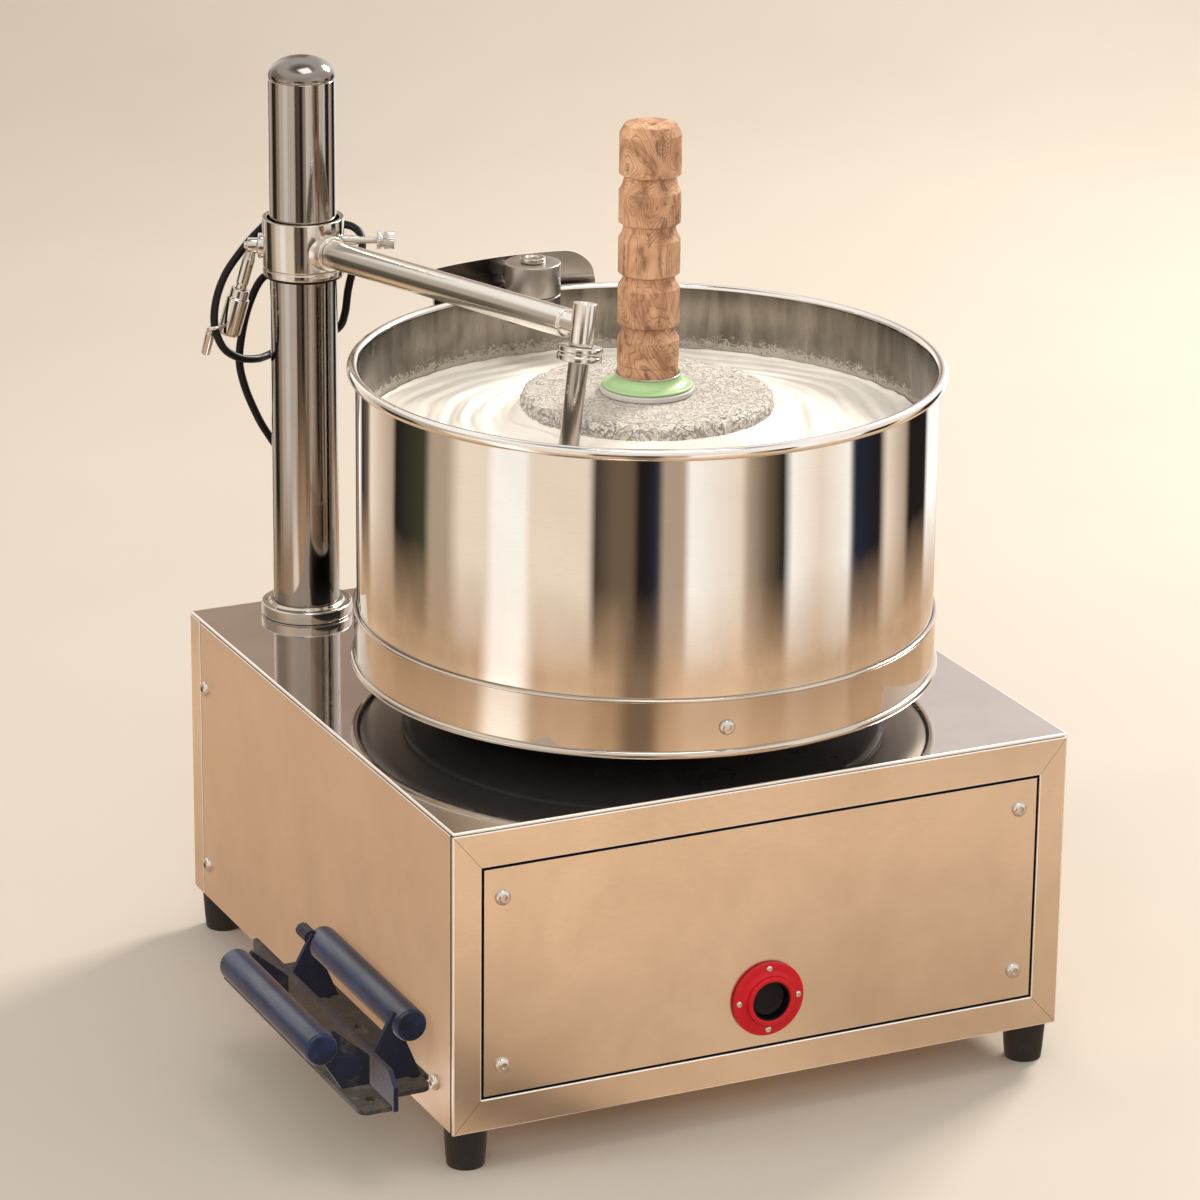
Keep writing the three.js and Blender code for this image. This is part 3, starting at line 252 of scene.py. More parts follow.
def granite(name, tone=1.0):
    """Dressed granite: pale worm-like tool marks, dark grains and a grey ground."""
    s = Shader(name, specular_ior_level=0.35)
    grain, spots, cloud = s.noise(560, 5, 0.72), s.cells(420), s.noise(38, 5, 0.65, 0.8)
    rimward = s.span(s.from_drum()[2], 0.035, 0.072, 0.35, 1.0)
    worm = s.noise(70, 2, 0.5, 2.6)
    colour = s.ramp(grain, (0.32, shaded((0.13, 0.12, 0.11), tone)), (0.5, shaded((0.40, 0.37, 0.335), tone)),
                    (0.64, shaded((0.60, 0.56, 0.51), tone)))
    ridge = s.ramp(worm, (0.36, 0.0), (0.43, 1.0), (0.47, 0.0), (0.52, 0.0), (0.57, 1.0), (0.64, 0.0))
    groove = s.ramp(worm, (0.44, 0.0), (0.495, 1.0), (0.55, 0.0))
    for marks, share, mark_colour in ((ridge, 0.65, (0.72, 0.67, 0.61)), (groove, 0.8, (0.14, 0.125, 0.11))):
        colour = s.mix(s.times(marks, s.times(rimward, share)), colour, shaded(mark_colour, tone))
    colour = s.mix(s.span(spots, 0.0, 0.3, 0.5, 0.0), colour, (0.06, 0.055, 0.05))
    s.put("Base Color", s.mix(s.span(cloud, 0.42, 0.7, 0, 0.35), colour, (0.52, 0.48, 0.43)))
    s.put("Roughness", s.span(cloud, 0.3, 0.7, 0.5, 0.8))
    s.bump(s.plus(s.times(grain, 0.45), s.times(s.minus(ridge, groove), 0.4)), 0.8, 1.1 * MM)
    return s.material


def batter_material():
    s = Shader("wet_batter", subsurface_weight=0.1, subsurface_scale=0.003, specular_ior_level=0.42,
               coat_weight=0.1, coat_roughness=0.2)
    cloud, foam = s.noise(30, 4, 0.6, 0.7), s.cells(900)
    colour = s.mix(s.span(cloud, 0.3, 0.7), (0.79, 0.745, 0.67), (0.87, 0.835, 0.77))
    s.put("Base Color", s.mix(s.span(foam, 0.0, 0.25, 0.12, 0.0), colour, (0.66, 0.6, 0.5)))
    s.put("Roughness", s.span(cloud, 0.3, 0.7, 0.28, 0.42))
    s.bump(s.plus(s.noise(160, 4, 0.6), s.times(foam, 0.3)), 0.18, 0.8 * MM)
    return s.material


def wood():
    """Pale turned wood: curling grain lines about two millimetres apart, darker patches and a few flecks."""
    s = Shader("turned_wood", specular_ior_level=0.3)
    warp = s.noise(24, 1.6, 0.45, 1.1, s.stretched((1, 1, 0.5)))
    curl = s.calc("SINE", s.times(warp, 250))
    fibre = s.noise(620, 4, 0.6, 0.3, s.stretched((1, 1, 0.14)))
    fleck = s.noise(70, 5, 0.66, 3.2, s.stretched((1, 1, 0.45)))
    blotch = s.noise(42, 4, 0.6, 2.0, s.stretched((1, 1, 0.7)))
    colour = s.ramp(blotch, (0.32, (0.21, 0.10, 0.05)), (0.45, (0.42, 0.22, 0.118)), (0.62, (0.57, 0.335, 0.197)))
    colour = s.mix(s.span(curl, 0.35, 1.0, 0, 0.62), colour, (0.19, 0.09, 0.045))
    colour = s.mix(s.span(fibre, 0.4, 0.7, 0, 0.3), colour, (0.42, 0.26, 0.16))
    marks = s.ramp(fleck, (0.36, 1.0), (0.42, 0.0))
    s.put("Base Color", s.mix(s.times(marks, 0.7), colour, (0.15, 0.08, 0.05)))
    s.put("Roughness", s.span(fibre, 0.3, 0.7, 0.5, 0.72))
    s.bump(s.minus(s.times(fibre, 0.4), s.plus(s.times(marks, 0.5), s.times(curl, 0.12))), 0.4, 0.6 * MM)
    return s.material


def moulded(name, colour, rough=0.4, grain=0.1, scale=700.0, spec=0.5, wear=None, wear_amount=0.0):
    """Moulded plastic or rubber with a fine grain and slightly uneven gloss."""
    s = Shader(name, specular_ior_level=spec)
    fine, cloud = s.noise(scale, 3, 0.6), s.noise(32, 4, 0.6, 0.3)
    tone = s.mix(s.span(cloud, 0.3, 0.7), shaded(colour, 0.86), colour)
    if wear:
        tone = s.mix(s.span(s.noise(90, 5, 0.7, 1.0), 0.6, 0.72, 0, wear_amount), tone, wear)
    s.put("Base Color", tone)
    s.put("Roughness", s.span(cloud, 0.3, 0.7, rough - 0.05, rough + 0.08))
    s.bump(fine, grain, 0.3 * MM)
    return s.material


def worn_paint(name, colour, bare, amount, rough, dark):
    """Paint over steel, rubbed through to dark metal in patches and along scratches."""
    s = Shader(name, specular_ior_level=0.3)
    patch, speck = s.noise(34, 6, 0.68, 1.2), s.noise(260, 4, 0.7)
    line = s.ramp(s.noise(75, 3, 0.5, 2.0, s.stretched((1, 0.22, 1))), (0.485, 0.0), (0.5, 1.0), (0.515, 0.0))
    wear_and_highlight = s.times(s.span(patch, 0.6 - 0.14 * amount, 0.72, 0, 1), s.span(speck, 0.36, 0.6))
    wear_and_highlight = s.calc("MAXIMUM", wear_and_highlight, s.times(line, 0.35 * amount))
    s.put("Base Color", s.mix(wear_and_highlight, s.mix(s.span(s.noise(16, 4), 0.35, 0.65), dark, colour), bare))
    s.put("Metallic", s.span(wear_and_highlight, 0, 1, 0.0, 0.7))
    s.put("Roughness", s.span(speck, 0.3, 0.7, rough - 0.06, rough + 0.12))
    s.bump(s.minus(s.times(speck, 0.4), wear_and_highlight), 0.25, 0.4 * MM)
    return s.material


def grip_paint():
    """Navy paint on the grips, with blue patches and a painted grey highlight, broken into streaks, along the upper
    left side.
    """
    s = Shader("grip_paint", specular_ior_level=0.32)
    normal = s.node("TexCoord").outputs["Normal"]
    highlight_facing = s.plus(s.times(s.axis("Z", normal), 0.87), s.times(s.axis("X", normal), -0.5))
    streak = s.noise(90, 4, 0.65, 0.5, s.stretched((1, 0.12, 1)))
    patch = s.noise(40, 4, 0.6, 0.6, s.stretched((1, 0.4, 1)))
    # Painted highlight: faces that point up and to the left are lightened to grey in streaks.
    wear_and_highlight = s.times(s.span(highlight_facing, 0.88, 1.0), s.span(streak, 0.3, 0.6, 0.2, 0.75))
    tone = s.mix(s.span(patch, 0.4, 0.6), (0.005, 0.009, 0.022), (0.010, 0.024, 0.075))
    s.put("Base Color", s.mix(wear_and_highlight, tone, (0.10, 0.107, 0.128)))
    s.put("Roughness", s.span(streak, 0.3, 0.7, 0.2, 0.3))
    s.bump(s.plus(s.times(streak, 0.5), s.noise(500, 3)), 0.1, 0.3 * MM)
    return s.material


def cast(name, colour, rough, metal):
    s = Shader(name, metallic=metal)
    grain, cloud = s.noise(420, 5, 0.7), s.noise(26, 4)
    s.put("Base Color", s.mix(s.span(cloud, 0.3, 0.7), shaded(colour, 0.75), colour))
    s.put("Roughness", s.span(grain, 0.3, 0.7, rough - 0.1, rough + 0.1))
    s.bump(grain, 0.45, 0.6 * MM)
    return s.material


ACROSS_Z = (1, 1, 24)
EVEN = (1, 1, 1)
MATERIALS = {
    "panel": steel("brushed_panel", (0.80, 0.73, 0.65), 0.17, 0.1, (1, 1, 14), 260, 0.006, 0.055, scratch=0.03),
    # The side steel's warm brown tint is a painted reflection of a warm floor.
    "panel_side": steel("brushed_side", (0.71, 0.555, 0.425), 0.34, 0.08, (14, 1, 14), 200, 0.006, 0.05,
                        scratch=0.03, metal=0.8),
    "plate": steel("mirror_plate", (0.70, 0.665, 0.63), 0.02, 0.045, (1, 12, 1), 120, 0.003, 0.04, scratch=0.03,
                   metal=0.975),
    "drum": steel("polished_drum", (0.74, 0.69, 0.63), 0.018, 0.03, ACROSS_Z, 90, 0.006, 0.03, 0.5),
    "band": steel("polished_band", (0.59, 0.53, 0.46), 0.06, 0.06, ACROSS_Z, 90, 0.008, 0.03, 0.5),
    "rim": steel("rim_steel", (0.80, 0.77, 0.73), 0.06, 0.05, (1, 1, 8), 200, 0.008, 0.03),
    # Near-white steel for rounded edges: a painted highlight along them.
    "edge": steel("edge_highlight_steel", (0.97, 0.94, 0.90), 0.34, 0.04, EVEN, 200, 0.004, 0.02, metal=0.8),
    "tube": steel("polished_tube", (0.40, 0.365, 0.33), 0.07, 0.05, (1, 1, 20), 150, 0.01, 0.05, 0.45),
    # The dome is the tube's steel made darker: painted shade on the column's top.
    "dome": steel("dome_painted_shade", (0.25, 0.225, 0.205), 0.13, 0.03, EVEN, 300, 0.006, 0.04),
    "collar": steel("polished_collar", (0.60, 0.555, 0.50), 0.08, 0.05, (1, 1, 20), 150, 0.01, 0.04, 0.3),
    "guard": steel("guard_sheet", (0.30, 0.27, 0.24), 0.1, 0.1, (12, 12, 1), 120, 0.01, 0.06),
    "arm": steel("brushed_arm", (0.78, 0.74, 0.69), 0.2, 0.01, (1, 30, 30), 20, 0.0, 0.02, turn=-ARM["yaw"]),
    "satin": steel("satin_steel", (0.38, 0.35, 0.315), 0.17, 0.02, (1, 1, 8), 300, 0.004, 0.03),
    "roller": steel("satin_roller", (0.42, 0.385, 0.35), 0.3, 0.03, (1, 1, 8), 200, 0.004, 0.03),
    "lever": steel("lever_steel", (0.60, 0.57, 0.53), 0.11, 0.02, (1, 1, 8), 300, 0.004, 0.03),
    "bolt": steel("bright_bolt", (0.66, 0.63, 0.59), 0.15, 0.02, EVEN, 300, 0.004, 0.03),
    "dull": steel("dull_steel", (0.34, 0.315, 0.29), 0.28, 0.15, EVEN, 300, 0.03, 0.08),
    "zinc": steel("zinc_steel", (0.58, 0.6, 0.61), 0.32, 0.15, EVEN, 240, 0.03, 0.1),
    "inner": drum_inner(),
    "stone": granite("granite_top", 1.12),
    "stone_dark": granite("granite_base", 0.8),
    "batter": batter_material(),
    "wood": wood(),
    "green": moulded("green_plastic", (0.34, 0.52, 0.25), 0.38, 0.05, 600, 0.45),
    "red": moulded("red_anodised", (0.50, 0.003, 0.010), 0.34, 0.02, 900, 0.3),
    "black": moulded("black_plastic", (0.004, 0.004, 0.0045), 0.5, 0.08, 800, 0.2),
    "rubber": moulded("foot_rubber", (0.011, 0.011, 0.012), 0.5, 0.25, 500, 0.35, (0.05, 0.045, 0.04), 0.4),
    "cord": moulded("cord_rubber", (0.004, 0.004, 0.0045), 0.42, 0.1, 500, 0.22),
    "belt": moulded("belt_rubber", (0.02, 0.02, 0.02), 0.7, 0.3, 300, 0.3),
    "grey": moulded("grey_washer", (0.50, 0.475, 0.45), 0.45, 0.2, 500, 0.4),
    "navy": worn_paint("worn_navy", (0.010, 0.019, 0.045), (0.10, 0.095, 0.09), 0.3, 0.27, (0.006, 0.009, 0.018)),
    "bare": worn_paint("worn_dark_steel", (0.034, 0.032, 0.032), (0.19, 0.175, 0.16), 0.8, 0.36,
                       (0.018, 0.017, 0.017)),
    "blue_web": worn_paint("navy_web", (0.005, 0.012, 0.036), (0.09, 0.08, 0.07), 0.15, 0.36,
                           (0.003, 0.006, 0.017)),
    "grip": grip_paint(),
    "worn_edge": steel("worn_edge", (0.20, 0.19, 0.185), 0.3, 0.05, EVEN, 300, 0.01, 0.1),
    "paint": moulded("black_enamel", (0.006, 0.006, 0.0065), 0.3, 0.04, 400, 0.3),
    "iron": cast("grey_casting", (0.16, 0.165, 0.17), 0.55, 0.3),
    # Near-black ledge behind the joints: painted shade in the gaps.
    "seam": moulded("seam_painted_shade", (0.008, 0.007, 0.006), 0.7, 0.1, 600, 0.1),
}


# Pieces
def move(x, y, z):
    return Matrix.Translation((x, y, z))


def spin(degrees, axis):
    return Matrix.Rotation(radians(degrees), 4, axis)


def middle_of(node):
    """Middle of a CAD node's box, in millimetres."""
    lo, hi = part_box(node)
    return TO_FRAME.inverted() @ ((lo + hi) / 2)


def piece(name, verts, faces, material, matrix=Matrix(), node=None, body="cabinet", slot="polished_steel", paint=None,
          sharp=35):
    """Mesh piece on its body. One that is called after a CAD node with _look, or has a node, stands for it."""
    mesh = bpy.data.meshes.new(name)
    to = TO_FRAME @ matrix
    mesh.from_pydata([to @ Vector(v) for v in verts], [], faces)
    if paint:
        mesh.polygons.foreach_set("material_index", paint)
    bm = bmesh.new()
    bm.from_mesh(mesh)
    bmesh.ops.remove_doubles(bm, verts=bm.verts, dist=1e-6)
    bmesh.ops.recalc_face_normals(bm, faces=bm.faces)
    bm.to_mesh(mesh)
    bm.free()
    mesh.shade_smooth()
    mesh.set_sharp_from_angle(angle=radians(sharp))
    for key in [material] if isinstance(material, str) else material:
        mesh.materials.append(MATERIALS[key])
    obj = added(name, mesh)
    node = node or (name.removesuffix("_look") if name.endswith("_look") else None)
    if node:
        return stands_for(obj, node)
    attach(obj, body)
    return obj


def stands_for(obj, node):
    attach(obj, BODY_OF[node])
    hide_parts(node)
    return obj


def softened(profile, radius, steps=3, closed=False):
    """Profile with each clear corner turned into a small arc."""
    out = []
    count = len(profile)
    for i, p in enumerate(profile):
        p0, p1, p2 = Vector(profile[i - 1]), Vector(p), Vector(profile[(i + 1) % count])
        a, b = p0 - p1, p2 - p1
        at_end = not closed and i in (0, count - 1)
        if at_end or min(a.length, b.length) < 1e-6 or abs(pi - a.angle(b)) < radians(14):
            out.append(p)
            continue
        reach = min(radius, a.length * 0.45, b.length * 0.45)
        start, end = p1 + a.normalized() * reach, p1 + b.normalized() * reach
        for k in range(steps + 1):
            t = k / steps
            out.append(tuple(start.lerp(p1, t).lerp(p1.lerp(end, t), t)))
    return out


def arc(x, z, radius, start, end, steps):
    """Points (x, z) of an arc between two angles in degrees."""
    angles = (radians(start + (end - start) * k / steps) for k in range(steps + 1))
    return [(x + radius * cos(a), z + radius * sin(a)) for a in angles]


def lathe(profile, facets=96, closed=False, hexed=(), wave=None):
    """Vertices and faces of a profile of (radius, height) turned about Z. The rows in `hexed` are hexagonal."""
    verts, faces, rows = [], [], len(profile)
    for i in range(facets):
        angle = TURN * i / facets
        for row, (radius, height) in enumerate(profile):
            if row in hexed:
                radius *= cos(pi / 6) / cos(angle % (pi / 3) - pi / 6)
            if wave:
                radius, height = wave(radius, height, angle)
            verts.append((radius * cos(angle), radius * sin(angle), height))
    for i in range(facets):
        j = (i + 1) % facets
        for row in range(rows if closed else rows - 1):
            nxt = (row + 1) % rows
            a, b, c, d = i * rows + row, j * rows + row, j * rows + nxt, i * rows + nxt
            on_axis = profile[row][0] == 0, profile[nxt][0] == 0
            if on_axis != (True, True):
                faces.append((a, c, d) if on_axis[0] else (a, b, c) if on_axis[1] else (a, b, c, d))
    return verts, faces


def ring(inner, outer, low, high):
    """Closed profile of a plain ring."""
    return [(inner, low), (outer, low), (outer, high), (inner, high)]


def turned(name, profile, material, matrix=Matrix(), soft=0.4, facets=96, closed=False, wave=None, **options):
    shape = softened(profile, soft, closed=closed)
    return piece(name, *lathe(shape, facets, closed, wave=wave), material, matrix, **options)


def round_edges(obj, width, segments=2):
    edge = obj.modifiers.new("edge", "BEVEL")
    edge.width, edge.segments, edge.limit_method = width * MM, segments, "ANGLE"
    edge.angle_limit, edge.harden_normals = radians(30), True
    return edge


def refined(node, material, bevel=0.4, squeeze=0.0, along=(0, 2), edge_material=None):
    """Copy of a CAD node with rounded edges, drawn in by `squeeze` at its sides, which stands for it."""
    mesh = frame["nodes"][node].data.copy()
    bm = bmesh.new()
    bm.from_mesh(mesh)
    bmesh.ops.remove_doubles(bm, verts=bm.verts, dist=1e-6)
    bmesh.ops.dissolve_limit(bm, angle_limit=radians(0.5), verts=bm.verts, edges=bm.edges)
    lo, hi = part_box(node)
    for vert in bm.verts:
        for i in along:
            for end, way in ((lo[i], 1), (hi[i], -1)):
                if abs(vert.co[i] - end) < 1e-4:
                    vert.co[i] += way * squeeze * MM
    bm.to_mesh(mesh)
    bm.free()
    if "custom_normal" in mesh.attributes:
        mesh.attributes.remove(mesh.attributes["custom_normal"])
    mesh.materials.clear()
    mesh.materials.append(MATERIALS[material])
    mesh.shade_smooth()
    obj = added(node + "_look", mesh)
    edge = round_edges(obj, bevel, 3)
    if edge_material:
        mesh.materials.append(MATERIALS[edge_material])
        edge.material = len(mesh.materials) - 1
    return stands_for(obj, node)


def bevelled(name, verts, faces, material, bevel, matrix=Matrix(), node=None):
    """Piece whose sharp edges are rounded by a modifier instead of shaded as sharp."""
    obj = piece(name, verts, faces, material, matrix, node)
    if "sharp_edge" in obj.data.attributes:
        obj.data.attributes.remove(obj.data.attributes["sharp_edge"])
    return obj, round_edges(obj, bevel)


def box_piece(name, low, high, material, matrix, bevel, node):
    verts = [(x, y, z) for x in (low[0], high[0]) for y in (low[1], high[1]) for z in (low[2], high[2])]
    faces = [(0, 1, 3, 2), (4, 6, 7, 5), (0, 4, 5, 1), (2, 3, 7, 6), (0, 2, 6, 4), (1, 5, 7, 3)]
    bevelled(name, verts, faces, material, bevel, matrix, node)


def radial(x, y, z, angle):
    """Frame whose Z points out of a vertical axis at an angle, and whose X points down."""
    return move(x, y, z) @ spin(angle, "Z") @ spin(90, "Y")


# Tether cord. Its points are measured from the column's axis, at the height of the arm.
CORD_ROUTE = [
    (25.9, 20.9, 6), (31.3, 18.2, 6.3), (37.8, 12.1, 5.5), (40.5, 4.8, 2.2), (38.2, -3.1, -5.3),
    (31.2, -5.2, -18.2), (29, -2.4, -31), (27.7, -0.4, -46), (26.9, 6.6, -57), (22, 17.2, -64),
    (12.3, 25.8, -68.5), (-0.1, 30.1, -73), (-14, 27.7, -77), (-25.2, 18.6, -75.4), (-38.3, 12.7, -71.7),
    (-49.6, 10.8, -63.8), (-54.1, 14.1, -50.8), (-51.6, 19, -36.2), (-43.2, 23.9, -20.3), (-31.4, 27.2, -7.5),
    (-19.7, 29.9, 2.5), (-3.7, 33.3, 11.6), (10.1, 34.6, 7.8), (15.5, 34.8, -2.1), (12.4, 35, -13.7),
    (0.1, 34.7, -22), (-14.3, 33.4, -27.7), (-23.1, 33.6, -43), (-28.7, 34.2, -64.3), (-31.4, 31.5, -80.3),
    (-29.3, 29.5, -94.5), (-23.1, 28.7, -111.5), (-14.6, 30.2, -127.5), (-0.9, 30.9, -145.3), (11.6, 29.2, -148.5),
    (22.5, 26, -141.3), (26.9, 24, -124), (27.5, 24, -103), (26.8, 24.9, -70), (22.1, 23, -31), (21.9, 22.8, -13.4),
]
EYE_AT = 16


def cord_point(i):
    return Vector(COLUMN) + Vector((0, 0, ARM["height"])) + Vector(CORD_ROUTE[i])


def smooth_route(points, steps=6):
    """Centripetal Catmull-Rom line through the points."""
    out = []
    last = len(points) - 1
    for i in range(last):
        p1, p2 = points[i], points[i + 1]
        p0 = points[i - 1] if i else p1 * 2 - p2
        p3 = points[i + 2] if i + 1 < last else p2 * 2 - p1
        d0, d1, d2 = (max((b - a).length ** 0.5, 1e-6) for a, b in ((p0, p1), (p1, p2), (p2, p3)))
        t1 = ((p1 - p0) / d0 - (p2 - p0) / (d0 + d1) + (p2 - p1) / d1) * d1
        t2 = ((p2 - p1) / d1 - (p3 - p1) / (d1 + d2) + (p3 - p2) / d2) * d1
        for k in range(steps):
            t = k / steps
            out.append(p1 * (2 * t**3 - 3 * t**2 + 1) + p2 * (3 * t**2 - 2 * t**3)
                       + t1 * (t**3 - 2 * t**2 + t) + t2 * (t**3 - t**2))
    out.append(points[-1])
    return out


def tether_cord():
    line = smooth_route([TO_FRAME @ cord_point(i) for i in range(len(CORD_ROUTE))])
    data = bpy.data.curves.new("tether_cable", "CURVE")
    data.dimensions, data.bevel_depth, data.bevel_resolution, data.use_fill_caps = "3D", CORD / 2 * MM, 5, True
    spline = data.splines.new("POLY")
    spline.points.add(len(line) - 1)
    for target, p in zip(spline.points, line):
        target.co = (*p, 1)
    spline.use_smooth = True
    data.materials.append(MATERIALS["cord"])
    obj = stands_for(added("tether_cable", data), "tether_cord")
    tether_pin()


def tether_pin():
    """Ring round the cord with a small pin that hangs from it."""
    before, centre, after = (cord_point(EYE_AT + k) for k in (-1, 0, 1))
    along = (after - before).normalized()
    tube, clear, lean = 1.2, 0.6, radians(30)
    ring_at = CORD / 2 + clear + tube
    turn = along.to_track_quat("Z", "Y").to_matrix().to_4x4()
    verts, faces = lathe(arc(ring_at, 0, tube, 0, 330, 11), 32, True)
    verts = [Matrix.Translation(centre) @ turn @ Vector(v) for v in verts]
    down = Vector((0, sin(lean), -cos(lean)))
    outward = (down - along * down.dot(along)).normalized()
    start = centre + outward * (ring_at + tube) - down * clear
    place = Matrix.Translation(start) @ down.to_track_quat("Z", "Y").to_matrix().to_4x4()
    more, more_faces = lathe(softened([(0, 0), (2.2, 0), (2.2, 3), (3, 4), (3, 22), (0, 22)], 0.5), 32)
    faces += [tuple(len(verts) + i for i in f) for f in more_faces]
    verts += [place @ Vector(v) for v in more]
    return piece("tether_pin_look", verts, faces, "bolt")


# Button-head screw with a hexagon socket. Z points out of the surface.
SCREW = [(0, -1.2), (4.75, -1.2), (4.75, 0.35), (4.45, 1.25), (3.75, 2.1), (2.9, 2.6), (2.25, 2.75), (2.0, 2.7),
         (1.95, 1.2), (0, 1.1)]


def button_screw(name, matrix, size=1.0, material="bolt"):
    piece(name, *lathe([(r * size, h * size) for r, h in SCREW], 48, hexed={7, 8}), material, matrix)


def cabinet_screws():
    for count in (1, 2, 3, 4):
        at = middle_of(f"front_screw_{count}")
        button_screw(f"front_screw_{count}_look", move(at.x, -208.8, at.z) @ spin(90, "X"))
    for count in (1, 2, 3):
        at = middle_of(f"side_screw_{count}")
        button_screw(f"side_screw_{count}_look", move(-201.3, at.y, at.z) @ spin(-90, "Y"))
        button_screw(f"right_screw_{count}", move(201.1, at.y, at.z) @ spin(90, "Y"))


# Cabinet
def prism(outline, front, back):
    """Outline of (x, z) points pulled from front to back along Y."""
    n = len(outline)
    verts = [(x, y, z) for y in (front, back) for x, z in outline]
    faces = [tuple(range(n)), tuple(range(2 * n - 1, n - 1, -1))]
    faces += [(i, i + n, (i + 1) % n + n, (i + 1) % n) for i in range(n)]
    return verts, faces


def round_long_edges(bar, edge):
    """Round off the front edges of a bar that run along X or Z, in near-white edge steel that paints a highlight line
    on them, and leave its mitres sharp.
    """
    bar.data.materials.append(MATERIALS["edge"])
    edge.material, edge.limit_method = 1, "WEIGHT"
    weights = bar.data.attributes.new("bevel_weight_edge", "FLOAT", "EDGE")
    front = min(v.co.y for v in bar.data.vertices) + 1e-5
    for side in bar.data.edges:
        a, b = (bar.data.vertices[i].co for i in side.vertices)
        step = (b - a).normalized()
        rounded = max(abs(step.x), abs(step.z)) > 0.99 and a.y < front and b.y < front
        weights.data[side.index].value = 1.0 if rounded else 0.0
        side.use_edge_sharp = not rounded


def front_frame():
    """Four mitred bars round the front panel, on the ledge that the panel is screwed to. The ledge is near black,
    painted shade that shows in the joints.
    """
    left, right, low, high = -HALF_WIDTH, HALF_WIDTH, UNDER, 211.7
    il, ir, ilow, ihigh = -183, 183, 45, 189.7
    bars = {
        "frame_bottom": [(left, low), (right, low), (ir, ilow), (il, ilow)],
        "frame_top": [(il, ihigh), (ir, ihigh), (right, high), (left, high)],
        "frame_left": [(left, low), (il, ilow), (il, ihigh), (left, high)],
        "frame_right": [(ir, ilow), (right, low), (right, high), (ir, ihigh)],
    }
    seam = 0.0011
    for name, outline in bars.items():
        middle = Vector((sum(p[0] for p in outline) / 4, sum(p[1] for p in outline) / 4))
        inset = [tuple(Vector(p).lerp(middle, seam)) for p in outline]
        round_long_edges(*bevelled(name, *prism(inset, FRONT, -206.5), "panel", 0.8, node="front_frame"))
    ledge, sill, head = 157, 53, 181.7
    for name, x0, x1, z0, z1 in (("ledge_left", left, -ledge, low, high), ("ledge_right", ledge, right, low, high),
                                 ("ledge_low", -ledge, ledge, low, sill), ("ledge_high", -ledge, ledge, head, high)):
        outline = [(x0, z0), (x1, z0), (x1, z1), (x0, z1)]
        piece(name, *prism(outline, -206.7, -205.2), "seam", node="front_frame")


def feet():
    profile = [(0, 0.02), (7, 0.02), (7, 0.6), (10, 0.6), (10, 0.02), (11.2, 0.02), (12.0, 8), (13.0, 23), (13.1, 24.7),
               (0, 24.7)]
    for corner in ("front_left", "front_right", "back_left", "back_right"):
        at = middle_of("foot_" + corner)
        turned(f"foot_{corner}_look", profile, "rubber", move(at.x, at.y, 0), soft=1.1)


def power_button():
    place = move(2, 0, 76.7) @ spin(90, "X")
    flange = [(12.3, 208.8), (23.2, 208.8), (23.2, 211.3), (18.2, 211.3), (16.4, 211.9), (15.5, 213.1), (15.3, 214.9),
              (14.6, 215.7), (12.9, 215.7), (12.3, 215.1)]
    turned("button_flange_look", flange, "red", place, soft=0.6, closed=True, facets=128)
    liner = ring(11.4, 12.3, 208.8, 214.9)
    turned("button_liner", liner, "black", place, soft=0.2, closed=True, slot="black_plastic")
    for k in range(4):
        at = place @ move(19.4 * cos(TURN * k / 4), 19.4 * sin(TURN * k / 4), 211.0)
        button_screw(f"flange_screw_{k + 1}", at, size=0.44)
    cap = [(0, 209.6), (7.5, 209.8), (9.8, 210.6), (10.9, 210.4), (10.9, 203.2), (0, 203.2)]
    turned("power_button_look", cap, "black", place, soft=0.5)


def cabinet_panels():
    # Rounded panel edges take the near-white edge steel, a painted highlight.
    refined("top_plate", "plate", 0.98, edge_material="edge")
    refined("front_panel", "panel", 0.5, squeeze=0.85, edge_material="edge")
    for node in ("left_panel", "right_panel"):
        refined(node, "panel_side", 0.45, squeeze=0.45, along=(1, 2), edge_material="edge")
    refined("back_panel", "panel", edge_material="edge")
    refined("base_plate", "panel_side")
    refined("cord_gland", "black")


# Drum and what turns in it
def drum():
    wall, at = DRUM_WALL, move(*DRUM)
    bead = arc(176.5, RIM, 3.5, -115, 180, 18)
    outside = [(0, 236), (163, 236), (169, 236.4), (173.2, 238.2), (174.7, 241), (wall, 246), (wall, 300), (wall, 360),
               (wall, 417)]
    inside = [(173, 400), (173, 360), (173, 246), (172.6, 242), (170.4, 239.4), (166, 238), (0, 238)]
    profile = outside + bead + inside
    rows = len(profile) - 1
    looks = ["drum", "rim", "dull", "inner"]
    bead_from, bead_to = len(outside) - 1, len(outside) + len(bead) - 2
    marks = [2 if r < 3 else 0 if r < bead_from else 1 if r < bead_to else 3 for r in range(rows)]
    verts, faces = lathe(profile, 256)
    piece("drum_shell_look", verts, faces, looks, at, paint=[marks[i % rows] for i in range(len(faces))])
    inner, outer = 175.3, 176.5
    band = [(inner, 236.5), *arc(outer, 238.9, 2.4, -90, 90, 10), (outer, 241.6), (outer, 256), (outer, 270.6),
            *arc(outer, 271.9, 1.1, -90, 90, 8), (inner, 273)]
    piece("base_band_look", *lathe(band, 256, True), "band", at)
    button_screw("band_screw_look", radial(0, -40, 254.75, -100) @ move(0, 0, 176.9))
    plate = [(0, 230.7), (140, 230.7), (144, 231.2), (148, 233), (148, 235.7), (0, 235.7)]
    turned("turntable_look", plate, "paint", at, soft=1.2, facets=160)


